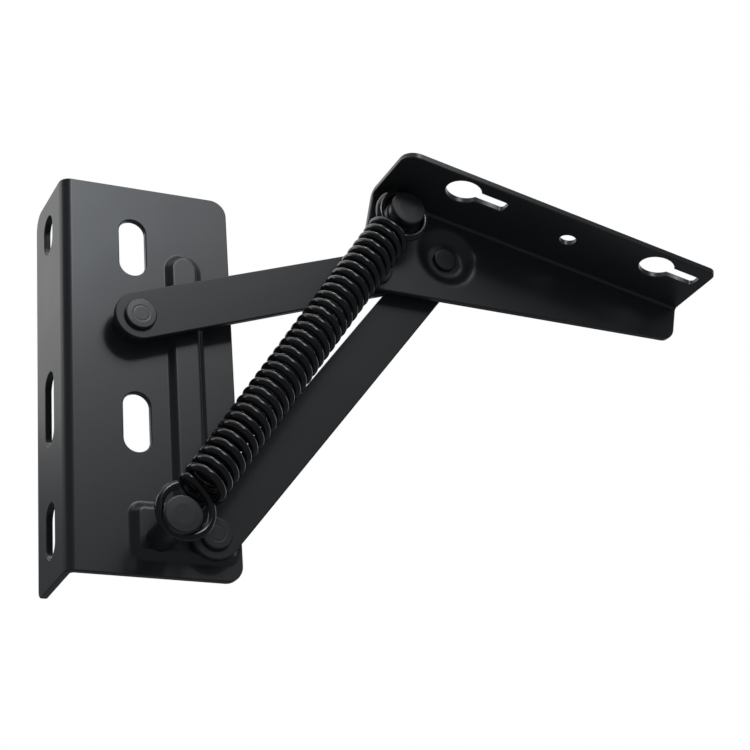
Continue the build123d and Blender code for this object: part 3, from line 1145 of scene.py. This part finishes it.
@dataclass(frozen=True)
class BaseBracket:
    """Upright plate with a slotted flange folded back, a pressed rib and a pressed foot."""

    width: float = 50.5
    height: float = 120.0
    flange: float = 26.0
    corner: float = 5.0
    low_corner: float = 2.5
    slot_width: float = 8.0
    slot_length: float = 18.0
    slot_from_left: float = 21.0
    slot_heights: tuple[float, ...] = (45.0, 100.0)
    flange_slot_back: float = 14.0
    flange_slots: tuple[tuple[float, float], ...] = ((108.0, 12.0), (52.5, 22.0), (16.0, 16.0))
    rib_from_left: float = 36.0
    rib_width: float = 10.5
    rib_top: float = 99.5
    rib_rise: float = 1.6
    foot_from_left: float = 33.4
    foot_from_bottom: float = 12.8
    foot_size: Spot = (31.2, 16.6)
    foot_corner: float = 3.8
    flank_angle: float = 46.0
    press_wall: float = 1.2
    press_roll: float = 0.5
    sink_radius: float = 4.02
    bore: float = 3.02

    def _across(self, from_left: float) -> float:
        """Place on the blank of a distance from the bracket's left side."""
        return BEND_OUTSIDE - from_left

    def _pressings(self) -> list[Pressing]:
        """The rib and the foot.

        Returns:
            Their pressings on the blank.
        """
        rib_middle = (self.rib_top + self.foot_from_bottom) / 2
        rib_flank = self.rib_rise * math.tan(math.radians(self.flank_angle))
        foot_flank = FOOT_RISE * math.tan(math.radians(self.flank_angle))
        return [
            Pressing(
                centre=(BOTTOM + rib_middle, self._across(self.rib_from_left)),
                half=((self.rib_top - self.foot_from_bottom) / 2, self.rib_width / 2),
                corner=self.rib_width / 2,
                rise=self.rib_rise,
                flank_outer=rib_flank,
                flank_inner=rib_flank,
                wall=self.press_wall,
                roll=self.press_roll,
            ),
            Pressing(
                centre=(BOTTOM + self.foot_from_bottom, self._across(self.foot_from_left)),
                half=(self.foot_size[1] / 2, self.foot_size[0] / 2),
                corner=self.foot_corner,
                rise=FOOT_RISE,
                flank_outer=foot_flank,
                flank_inner=FOOT_RISE * math.tan(math.radians(self.flank_angle / 2)),
                wall=self.press_wall,
                roll=self.press_roll,
            ),
        ]

    def build(self, material: bpy.types.Material) -> None:
        """Builds the bracket as one folded sheet.

        Args:
            material: the bracket's finish.
        """
        top = BOTTOM + self.height
        right = self._across(self.width)
        back = BEND_RUN + self.flange - BEND_OUTSIDE
        outer = Outline.rounded(
            [
                (BOTTOM, right, self.corner),
                (top, right, self.corner),
                (top, back, self.corner),
                (BOTTOM, back, self.low_corner),
            ]
        )
        openings = [
            Outline.stadium(
                (BOTTOM + level, self._across(self.slot_from_left)), self.slot_length, self.slot_width
            )
            for level in self.slot_heights
        ]
        flange_line = BEND_RUN + self.flange_slot_back - BEND_OUTSIDE
        openings += [
            Outline.stadium((BOTTOM + level, flange_line), length, self.slot_width)
            for level, length in self.flange_slots
        ]
        bore = Outline.circle((UPPER_BASE_PIVOT[1], self._across(UPPER_BASE_PIVOT[0] - LEFT)), self.bore)
        sink = [
            RimStation(0.0, 0.0, 0.0),
            RimStation(0.0, PLATE - SINK_DEPTH, math.pi / 2),
            RimStation(self.sink_radius - self.bore, PLATE, math.pi),
        ]
        space = SheetSpace(
            origin=(LEFT + BEND_OUTSIDE, depth_y(0.0), 0.0),
            along=(0.0, 0.0, 1.0),
            across=(-1.0, 0.0, 0.0),
            inward=(0.0, 1.0, 0.0),
        )
        sheet = Sheet(space, outer, openings, [(bore, sink)], self._pressings())
        made = sheet.piece("base_bracket_sheet", material)
        settle(made, Body.BASE, "base_bracket")


@dataclass(frozen=True)
class SeatBracket:
    """Tapering web with a dish at its pivot and a keyholed flange folded forward."""

    left: float = -27.2
    right: float = 81.0
    fold: float = 12.8
    flange: float = 26.0
    corner: float = 5.0
    low_corner: float = 2.5
    web_low_left: float = -21.1
    web_low_right: float = 1.0
    web_corner_left: float = 7.0
    web_corner_right: float = 4.5
    dish_radius: float = 9.6
    dish_slope: float = 3.6
    dish_roll: float = 1.1
    dish_outer_share: float = 1.5
    press_wall: float = 1.2
    key_radius: float = 5.5
    key_width: float = 4.8
    key_tip: float = 14.4
    key_corner: float = 1.2
    key_left: float = -4.4
    key_pitch: float = 68.0
    key_from_edge: float = 7.4
    hole_along: float = 33.8
    hole_from_edge: float = 11.0
    hole_radius: float = 2.6

    def _line(self) -> float:
        """Distance of the bend's start from the pivot, square to the fold."""
        return self.fold - BEND_INSIDE

    def _flange_spot(self, along: float, from_edge: float) -> Spot:
        """Place on the blank of a point on the flange, by its distance from the free edge."""
        return (-along, BEND_RUN + self.flange - BEND_OUTSIDE - from_edge)

    def build(self, material: bpy.types.Material) -> None:
        """Builds the bracket as one folded sheet.

        Args:
            material: the bracket's finish.
        """
        line = self._line()
        edge = BEND_RUN + self.flange - BEND_OUTSIDE
        outer = Outline.rounded(
            [
                (-self.left, self.web_low_left - line, self.web_corner_left),
                (-self.right, self.web_low_right - line, self.web_corner_right),
                (-self.right, edge, self.low_corner),
                (-self.left, edge, self.corner),
            ]
        )
        key = Outline.keyhole(self.key_radius, self.key_width, self.key_tip, self.key_corner)
        mirrored = key.points * np.array([-1.0, 1.0])
        openings = [
            Outline(mirrored + np.array(self._flange_spot(self.key_left + shift, self.key_from_edge)))
            for shift in (0.0, self.key_pitch)
        ]
        openings.append(
            Outline.circle(self._flange_spot(self.hole_along, self.hole_from_edge), self.hole_radius)
        )
        wide = self.dish_radius + self.dish_slope / 2
        dish = Pressing(
            centre=(0.0, -line),
            half=(wide, wide),
            corner=wide,
            rise=WEB_FRONT - DISH_FRONT,
            flank_outer=self.dish_outer_share * self.dish_slope - self.press_wall / 2,
            flank_inner=self.dish_slope,
            wall=self.dish_slope / 2,
            roll=self.dish_roll,
        )
        space = SheetSpace(
            origin=seat_line_point(line, WEB_BACK),
            along=(-math.cos(TILT), 0.0, -math.sin(TILT)),
            across=(-math.sin(TILT), 0.0, math.cos(TILT)),
            inward=(0.0, -1.0, 0.0),
        )
        made = Sheet(space, outer, openings, [], [dish]).piece("seat_bracket_sheet", material)
        settle(made, Body.SEAT, "seat_bracket")


def seat_line_point(across: float, depth: float) -> tuple[float, float, float]:
    """X, Y and Z of the point above the pivot at a distance across the fold and a depth."""
    x, z = seat_spot(0.0, across)
    return (x, depth_y(depth), z)


@dataclass(frozen=True)
class LinkArm:
    """A flat arm with round ends between two pivots."""

    name: str
    node: str
    body: Body
    start: Spot
    end: Spot
    back: float
    width: float = 14.5
    bore: float = 3.05
    eye: tuple[float, float, float] | None = None

    def build(self, material: bpy.types.Material) -> None:
        """Builds the arm with a bore at its start and a bore or a long eye at its end.

        Args:
            material: the arm's finish.
        """
        run = np.array(self.end) - np.array(self.start)
        span = float(np.linalg.norm(run))
        way = run / span
        space = SheetSpace(
            origin=(self.start[0], depth_y(self.back + PLATE), self.start[1]),
            along=(way[0], 0.0, way[1]),
            across=(-way[1], 0.0, way[0]),
            inward=(0.0, 1.0, 0.0),
            bent=False,
        )
        outer = Outline.stadium((span / 2, 0.0), span + self.width, self.width)
        bores = [Outline.circle((0.0, 0.0), self.bore)]
        if self.eye:
            play, width, turn = self.eye
            bores.append(Outline.stadium((span, 0.0), 2 * play + width, width, turn))
        else:
            bores.append(Outline.circle((span, 0.0), self.bore))
        made = Sheet(space, outer, bores).piece(self.name, material)
        settle(made, self.body, self.node)


@dataclass(frozen=True)
class RivetSet:
    """The four pivot rivets and the two spring pins, with their sizes."""

    head: float = 4.6
    dish_head: float = 3.7
    head_thick: float = 1.2
    shank: float = 3.0
    seat_shank: float = 2.25
    tail: float = 4.0
    tail_thick: float = 1.1
    base_pin: float = 4.0
    base_neck: float = 3.3
    seat_pin: float = 5.1
    seat_neck: float = 4.7
    pin_tail: float = 3.7
    pin_head: float = 5.4
    pin_head_thick: float = 1.7
    pin_shank: float = 2.5
    neck_back: float = 16.15
    neck_front: float = 19.25
    edge: float = 0.42
    foot_edge: float = 0.15
    crown: float = 0.03
    pin_crown: float = 0.06
    pin_edge: float = 0.5
    pin_under_edge: float = 0.2
    pin_flat_share: float = 0.55
    pin_flat_edge: float = 2.0
    shoulder_edge: float = 0.25
    neck_edge: float = 0.15
    tail_edge: float = 0.4
    seat_pin_tail_thick: float = 0.9
    seat_pin_tail_edge: float = 0.35
    mark_radius: float = 2.35
    mark_half: float = 0.45
    mark_round: float = 0.5
    mark_depth: float = 0.02

    def _head(self, start: float, radius: float, marked: bool = False) -> tuple[Corner, ...]:
        """Profile of a rivet's head from its underside to its middle.

        Args:
            start: depth of the underside.
            radius: the head's radius.
            marked: whether the setting tool left a ring on it.

        Returns:
            The head's corners.
        """
        top = start + self.head_thick
        ring = (
            Corner(self.mark_radius + self.mark_half, top, self.mark_round),
            Corner(self.mark_radius, top - self.mark_depth, self.mark_round),
            Corner(self.mark_radius - self.mark_half, top, self.mark_round),
        )
        return (
            Corner(radius, start, self.foot_edge),
            Corner(radius, top - self.crown, self.edge),
            *(ring if marked else ()),
            Corner(0.0, top),
        )

    def _pin_top(self, shank: float, neck: float) -> tuple[Corner, ...]:
        """A spring pin's profile from the top of its shank to the middle of its head.

        Args:
            shank: the shank's radius.
            neck: the neck's radius.

        Returns:
            The corners.
        """
        top = self.neck_front + self.pin_head_thick
        return (
            Corner(shank, self.neck_back, self.shoulder_edge),
            Corner(neck, self.neck_back, self.neck_edge),
            Corner(neck, self.neck_front, self.neck_edge),
            Corner(self.pin_head, self.neck_front, self.pin_under_edge),
            Corner(self.pin_head, top - self.pin_crown, self.pin_edge),
            Corner(self.pin_head * self.pin_flat_share, top, self.pin_flat_edge),
            Corner(0.0, top),
        )

    def pieces(self) -> list[TurnedPiece]:
        """All six pieces.

        Returns:
            The pieces, each named after the node that it stands for.
        """
        foot_back = FOOT_RISE - PLATE
        tail_seat = LOWER_ARM_BACK - SIDE_FIT
        upper_base = (
            Corner(0.0, -PLATE),
            Corner(self.tail, -PLATE),
            Corner(self.shank, -PLATE + SINK_DEPTH),
            Corner(self.shank, UPPER_ARM_FRONT + SIDE_FIT),
            *self._head(UPPER_ARM_FRONT + SIDE_FIT, self.head, True),
        )
        lower_base = (
            Corner(0.0, foot_back - self.tail_thick),
            Corner(self.tail, foot_back - self.tail_thick, self.tail_edge),
            Corner(self.tail, foot_back),
            Corner(self.shank, foot_back),
            Corner(self.shank, LOWER_ARM_FRONT + SIDE_FIT),
            *self._head(LOWER_ARM_FRONT + SIDE_FIT, self.head, True),
        )
        upper_seat = (
            Corner(0.0, UPPER_ARM_BACK + SIDE_FIT),
            Corner(self.seat_shank, UPPER_ARM_BACK + SIDE_FIT),
            Corner(self.seat_shank, WEB_FRONT),
            *self._head(WEB_FRONT, self.head),
        )
        lower_seat = (
            Corner(0.0, tail_seat - self.tail_thick),
            Corner(self.tail, tail_seat - self.tail_thick, self.tail_edge),
            Corner(self.tail, tail_seat),
            Corner(self.shank, tail_seat),
            Corner(self.shank, DISH_FRONT),
            *self._head(DISH_FRONT, self.dish_head),
        )
        base_pin = (
            Corner(0.0, foot_back - self.tail_thick),
            Corner(self.pin_tail, foot_back - self.tail_thick, self.tail_edge),
            Corner(self.pin_tail, foot_back),
            Corner(self.pin_shank, foot_back),
            Corner(self.pin_shank, FOOT_RISE),
            Corner(self.base_pin, FOOT_RISE),
            *self._pin_top(self.base_pin, self.base_neck),
        )
        seat_pin = (
            Corner(0.0, WEB_BACK - self.seat_pin_tail_thick),
            Corner(self.pin_tail, WEB_BACK - self.seat_pin_tail_thick, self.seat_pin_tail_edge),
            Corner(self.pin_tail, WEB_BACK),
            Corner(self.pin_shank, WEB_BACK),
            Corner(self.pin_shank, WEB_FRONT),
            Corner(self.seat_pin, WEB_FRONT),
            *self._pin_top(self.seat_pin, self.seat_neck),
        )
        profiles = (
            ("upper_base_rivet", Body.BASE, UPPER_BASE_PIVOT, upper_base),
            ("lower_base_rivet", Body.BASE, LOWER_BASE_PIVOT, lower_base),
            ("upper_seat_rivet", Body.SEAT, UPPER_SEAT_PIVOT, upper_seat),
            ("lower_seat_rivet", Body.SEAT, SEAT_PIVOT, lower_seat),
            ("base_spring_pin", Body.BASE, BASE_PIN, base_pin),
            ("seat_spring_pin", Body.SEAT, SEAT_PIN, seat_pin),
        )
        return [
            TurnedPiece(f"{node}_turned", node, body, centre, corners)
            for node, body, centre, corners in profiles
        ]

    def build(self, material: bpy.types.Material) -> None:
        """Builds the rivets and pins, and dresses the washers and the spacer.

        Args:
            material: their finish.
        """
        for turned in self.pieces():
            turned.build(material)
        for node in ("upper_base_spacer", "lower_base_washer", "upper_seat_washer", "lower_seat_washer"):
            dress(node, material)


@dataclass(frozen=True)
class TensionSpring:
    """Open-wound wire between the two pins, with a full loop hooked on each."""

    wire: float = 1.25
    coil: float = 5.55
    loop: float = 7.4
    turns: int = 32
    lower_lead: float = 0.2
    upper_lead: float = 1.6
    lower_neck: float = 3.3
    upper_neck: float = 4.7
    neck_fit: float = 0.02
    leave_angle: float = 50.0
    lower_sweep: float = 268.0
    upper_sweep: float = 285.0
    turn_steps: int = 44
    loop_steps: int = 60
    lead_steps: int = 20
    sides: int = 16
    end_shares: tuple[float, ...] = (0.0, 0.35, 0.7, 0.92)
    end_bulge: float = 0.3
    least_radius: float = 0.05
    grain_run: float = 30.0
    seat_swing: float = 58.8
    arm_swing: float = 11.2
    spring_swing: float = 4.797

    def _span(self) -> float:
        """Distance between the two pins."""
        return math.dist(BASE_PIN, SEAT_PIN)

    def _axis(self) -> np.ndarray:
        """Direction from the base's pin to the seat's pin."""
        x, z = (np.array(SEAT_PIN) - np.array(BASE_PIN)) / self._span()
        return np.array([x, 0.0, z])

    def _foot(self) -> np.ndarray:
        """Where the spring's middle line crosses the base's pin."""
        return np.array([BASE_PIN[0], depth_y(SPRING_DEPTH), BASE_PIN[1]])

    def _closing(self) -> np.ndarray:
        """How far the seat's pin has moved once the seat is up, as seen from the spring.

        Returns:
            The move in X and Z, in millimetres.
        """
        spot = np.array(SEAT_PIN)
        swings = (
            (SEAT_PIVOT, self.seat_swing),
            (LOWER_BASE_PIVOT, self.arm_swing),
            (BASE_PIN, -self.spring_swing),
        )
        for pivot, swing in swings:
            spot = pivot + rotated(spot - pivot, math.radians(swing))
        return spot - SEAT_PIN

    def _shift(self, neck: float) -> float:
        """How far a loop's middle hangs from its pin's, towards the coil."""
        return self.loop - self.wire - neck - self.neck_fit

    def _end(self, neck: float, sweep: float, lead: float) -> np.ndarray:
        """One end's loop and its lead to the coil, across, outward and along the spring.

        Args:
            neck: radius of the pin's neck.
            sweep: how far round the loop goes, in degrees.
            lead: how far beyond the loop's top the coil starts.

        Returns:
            The points from the free end to the coil.
        """
        shift = self._shift(neck)
        leave = math.radians(self.leave_angle)
        angles = leave - math.radians(sweep) * np.linspace(1, 0, self.loop_steps)
        loop = np.column_stack(
            [self.loop * np.cos(angles), 0 * angles, shift + self.loop * np.sin(angles)]
        )
        reach = 2 * self.coil
        t = np.linspace(0, 1, self.lead_steps)[1:-1, None]
        run = (
            loop[-1] * (2 * t**3 - 3 * t**2 + 1)
            + np.array([-math.sin(leave), 0.0, math.cos(leave)]) * reach * (t**3 - 2 * t**2 + t)
            + np.array([-self.coil, 0.0, shift + self.loop + lead]) * (3 * t**2 - 2 * t**3)
            + np.array([0.0, -1.0, 0.0]) * reach * (t**3 - t**2)
        )
        return np.concatenate([loop, run])

    def _path(self) -> np.ndarray:
        """The wire's centre line in the frame, in millimetres.

        Returns:
            The points from the base's loop to the seat's.
        """
        span = self._span()
        start = self._shift(self.lower_neck) + self.loop + self.lower_lead
        stop = self._shift(self.upper_neck) + self.loop + self.upper_lead
        turn = 2 * math.pi * np.arange(self.turns * self.turn_steps + 1) / self.turn_steps
        rise = start + (span - start - stop) * turn / turn[-1]
        coil = np.column_stack([-self.coil * np.cos(turn), -self.coil * np.sin(turn), rise])
        lower = self._end(self.lower_neck, self.lower_sweep, self.lower_lead)
        upper = self._end(self.upper_neck, self.upper_sweep, self.upper_lead)
        upper = upper[::-1] * np.array([1.0, -1.0, -1.0]) + np.array([0.0, 0.0, span])
        local = np.concatenate([lower, coil, upper])
        along = self._axis()
        across = np.array([along[2], 0.0, -along[0]])
        outward = np.array([0.0, -1.0, 0.0])
        return self._foot() + local[:, :1] * across + local[:, 1:2] * outward + local[:, 2:] * along

    def build(self, material: bpy.types.Material) -> None:
        """Sweeps the wire along its path, with rounded ends.

        Args:
            material: the spring's finish.
        """
        path = self._path()
        ways = np.gradient(path, axis=0)
        ways /= np.linalg.norm(ways, axis=1)[:, None]
        turns = np.arange(self.sides) * 2 * math.pi / self.sides
        runs = np.concatenate([[0.0], np.cumsum(np.linalg.norm(np.diff(path, axis=0), axis=1))])
        side = np.array([0.0, -1.0, 0.0])
        build = MeshBuild()
        grain: list[np.ndarray] = []
        starts = []
        ends = {0: (*self.end_shares, 1.0), len(path) - 1: (1.0, *reversed(self.end_shares))}
        for number, (spot, way) in enumerate(zip(path, ways)):
            side = side - way * float(side @ way)
            side /= np.linalg.norm(side)
            other = np.cross(way, side)
            ring = np.cos(turns)[:, None] * side + np.sin(turns)[:, None] * other
            along = np.full(self.sides, runs[number] / self.grain_run)
            mark = np.column_stack([np.cos(turns), np.sin(turns), along])
            for share in ends.get(number, (1.0,)):
                radius = max(self.wire * share, self.least_radius)
                out = self.end_bulge * (1 - share) * (1 if number else -1)
                starts.append(build.add(spot + ring * radius + way * out, ring))
                grain.append(mark)
        for low, high in zip(starts, starts[1:]):
            build.band(low, high, self.sides)
        for start in (starts[0], starts[-1]):
            build.faces.append(tuple(range(start, start + self.sides)))
        made = build.piece("spring_wire", material, {"wire_grain": np.concatenate(grain)})
        settle(made, Body.SPRING, "spring")
        closing = self._closing()
        travel = float(np.linalg.norm(closing))
        x, z = -closing / travel
        foot = self._foot()
        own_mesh(made)


@dataclass(frozen=True)
class Lamp:
    """A soft rectangular lamp that faces a point."""

    name: str
    place: tuple[float, float, float]
    target: tuple[float, float, float]
    size: Spot
    radiance: float
    tint: Colour = (0.9, 0.95, 1.0)

    def build(self) -> None:
        """Adds the lamp, hidden from the camera."""
        light = bpy.data.lights.new(self.name, "AREA")
        light.shape = "RECTANGLE"
        light.size, light.size_y = self.size
        light.energy = self.radiance * math.pi * self.size[0] * self.size[1]
        light.color = self.tint
        made = bpy.data.objects.new(self.name, light)
        made.location = self.place
        way = Vector(self.target) - Vector(self.place)
        made.rotation_euler = way.to_track_quat("-Z", "Y").to_euler()
        made.visible_camera = False
        bpy.context.scene.collection.objects.link(made)


@dataclass(frozen=True)
class DarkScreen:
    """Painted dark reflections: a near-black sheet round the set and under it, with a faint glow, seen
    only in the gloss of the pieces.
    """

    middle: tuple[float, float, float]
    reach: float = 1.6
    foot: float = -0.33
    # faint glow of the sheet, seen only in gloss: a painted reflected glow
    glow: float = 0.12
    steps: int = 72
    rim: tuple[Spot, ...] = (
        (-180.0, 40.0),
        (-160.0, 48.0),
        (-100.0, 48.0),
        (-80.0, 32.0),
        (-64.0, 36.0),
        (-30.0, 48.0),
        (0.0, 20.0),
        (45.0, -8.0),
        (60.0, 0.0),
        (90.0, 22.0),
        (140.0, 22.0),
        (180.0, 40.0),
    )

    def build(self) -> None:
        """Adds the sheet, which neither shades the pieces nor shows behind them; its dark colour and faint
        glow paint the pieces' reflections.
        """
        material = bpy.data.materials.new("painted_reflection_screen")
        material.use_nodes = True
        graph = Graph(material.node_tree)
        # Near-black colour and faint cool glow: painted dark reflections and a painted reflected glow on
        # the pieces
        shader = graph.out(
            "ShaderNodeBsdfPrincipled",
            None,
            {
                "Base Color": (0.01, 0.01, 0.01),
                "Roughness": 1.0,
                "Specular IOR Level": 0.0,
                "Emission Color": (0.86, 0.94, 1.0),
                "Emission Strength": self.glow,
            },
        )
        graph.node("ShaderNodeOutputMaterial", None, {"Surface": shader})
        turns, heights = zip(*self.rim)
        steps = np.linspace(-180.0, 180.0, self.steps + 1)
        tops = np.tan(np.radians(np.interp(steps, turns, heights))) * self.reach
        ways = np.column_stack([np.cos(np.radians(steps)), np.sin(np.radians(steps))]) * self.reach
        verts = [(*self.middle[:2], self.foot)]
        verts += [(*(np.array(self.middle[:2]) + way), self.foot) for way in ways]
        verts += [(*(np.array(self.middle[:2]) + way), float(top)) for way, top in zip(ways, tops)]
        count = len(steps)
        faces = [(0, step + 1, step + 2) for step in range(count - 1)]
        faces += [
            (step + 1, step + 2, step + 2 + count, step + 1 + count) for step in range(count - 1)
        ]
        mesh = bpy.data.meshes.new("dark_screen")
        mesh.from_pydata([tuple(map(float, vert)) for vert in verts], [], faces)
        mesh.materials.append(material)
        screen = bpy.data.objects.new("dark_screen", mesh)
        screen.visible_camera = False
        screen.visible_diffuse = False
        screen.visible_shadow = False
        screen.visible_transmission = False
        bpy.context.scene.collection.objects.link(screen)


@dataclass(frozen=True)
class Studio:
    """White surroundings, a pale floor, soft lamps and a dark screen."""

    floor_level: float = -0.34
    floor_size: float = 8.0
    floor_glow: float = 0.45
    surround: float = 0.6
    middle: tuple[float, float, float] = (0.06, -0.015, 0.0)

    def _world(self) -> None:
        """White behind and in the gloss, softer as light on the pieces."""
        world = bpy.data.worlds.new("studio_white")
        bpy.context.scene.world = world
        world.use_nodes = True
        graph = Graph(world.node_tree)
        path = graph.node("ShaderNodeLightPath")
        seen = Value(graph, path.outputs["Is Camera Ray"])
        for name in ("Is Glossy Ray", "Is Transmission Ray"):
            seen = seen.larger(Value(graph, path.outputs[name]))
        strength = self.surround + (1.0 - self.surround) * seen
        white = graph.out("ShaderNodeBackground", None, {"Color": (1.0, 1.0, 1.0), "Strength": strength})
        graph.node("ShaderNodeOutputWorld", None, {"Surface": white})

    def _floor(self) -> None:
        """A plain pale floor well below the hinge, which shows its shadow."""
        material = bpy.data.materials.new("pale_floor")
        material.use_nodes = True
        graph = Graph(material.node_tree)
        plain, pale = (
            graph.out(
                "ShaderNodeBsdfPrincipled",
                None,
                {
                    "Base Color": (0.9, 0.9, 0.9),
                    "Roughness": 0.9,
                    "Specular IOR Level": 0.1,
                    "Emission Color": (1.0, 1.0, 1.0),
                    "Emission Strength": glow,
                },
            )
            for glow in (0.0, self.floor_glow)
        )
        seen = graph.out("ShaderNodeLightPath", name="Is Camera Ray")
        mixed = graph.out("ShaderNodeMixShader", None, {0: seen, 1: plain, 2: pale})
        graph.node("ShaderNodeOutputMaterial", None, {"Surface": mixed})
        mesh = bpy.data.meshes.new("floor")
        shape = bmesh.new()
        bmesh.ops.create_grid(shape, x_segments=1, y_segments=1, size=self.floor_size / 2)
        shape.to_mesh(mesh)
        shape.free()
        mesh.materials.append(material)
        floor = bpy.data.objects.new("floor", mesh)
        floor.location = (self.middle[0], self.middle[1], self.floor_level)
        bpy.context.scene.collection.objects.link(floor)

    def build(self) -> None:
        """Sets the world, the floor, the lamps and the view."""
        self._world()
        self._floor()
        lamps = [
            Lamp("key_lamp", (0.21, -0.79, 0.67), self.middle, (0.46, 0.42), 3.2),
            Lamp("spark_lamp", (0.19, -0.91, 0.56), self.middle, (0.12, 0.12), 18.0),
            Lamp("side_lamp", (-0.75, 0.35, 0.6), self.middle, (0.5, 0.5), 1.2),
            Lamp("top_lamp", (0.36, 0.035, 0.95), self.middle, (0.2, 0.2), 8.0),
        ]
        DarkScreen(self.middle).build()
        for lamp in lamps:
            lamp.build()
        bpy.context.scene.view_settings.view_transform = "Standard"


@dataclass(frozen=True)
class ProductCamera:
    """The photograph's viewpoint: below the hinge and to its left."""

    place: tuple[float, float, float] = (-0.168317, -0.485787, -0.252416)
    right: tuple[float, float, float] = (0.90713, -0.41437, -0.07359)
    up: tuple[float, float, float] = (-0.11358, -0.40942, 0.90525)
    forward: tuple[float, float, float] = (0.40524, 0.81282, 0.41846)
    focal_pixels: float = 2002.3
    frame_pixels: float = 750.0
    middle_pixels: Spot = (369.34, 372.79)
    sensor: float = 36.0

    def build(self) -> None:
        """Makes the camera the scene's own."""
        data = bpy.data.cameras.new("product_camera")
        data.sensor_width = self.sensor
        data.lens = self.sensor * self.focal_pixels / self.frame_pixels
        data.shift_x = 0.5 - self.middle_pixels[0] / self.frame_pixels
        data.shift_y = self.middle_pixels[1] / self.frame_pixels - 0.5
        data.clip_start = 0.01
        camera = bpy.data.objects.new("product_camera", data)
        turn = Matrix((self.right, self.up, -Vector(self.forward))).transposed().to_4x4()
        camera.matrix_world = Matrix.Translation(self.place) @ turn
        bpy.context.scene.collection.objects.link(camera)
        bpy.context.scene.camera = camera


def main() -> None:
    """Builds every sub-assembly in order."""
    logging.basicConfig(level=logging.INFO, format="%(name)s: %(message)s")
    bracket, arm, rivet, wire = (
        finish.material() for finish in (BRACKET_COAT, ARM_COAT, RIVET_COAT, SPRING_COAT)
    )
    ProductCamera().build()
    BaseBracket().build(bracket)
    SeatBracket().build(bracket)
    LinkArm(
        "upper_arm_sheet",
        "upper_arm",
        Body.UPPER_ARM,
        UPPER_BASE_PIVOT,
        UPPER_SEAT_PIVOT,
        UPPER_ARM_BACK,
        eye=(2.9, 5.7, 34.0),
    ).build(arm)
    LinkArm(
        "lower_arm_sheet",
        "lower_arm",
        Body.LOWER_ARM,
        LOWER_BASE_PIVOT,
        SEAT_PIVOT,
        LOWER_ARM_BACK,
    ).build(arm)
    RivetSet().build(rivet)
    TensionSpring().build(wire)
    Studio().build()


if __name__ == "__main__":
    main()
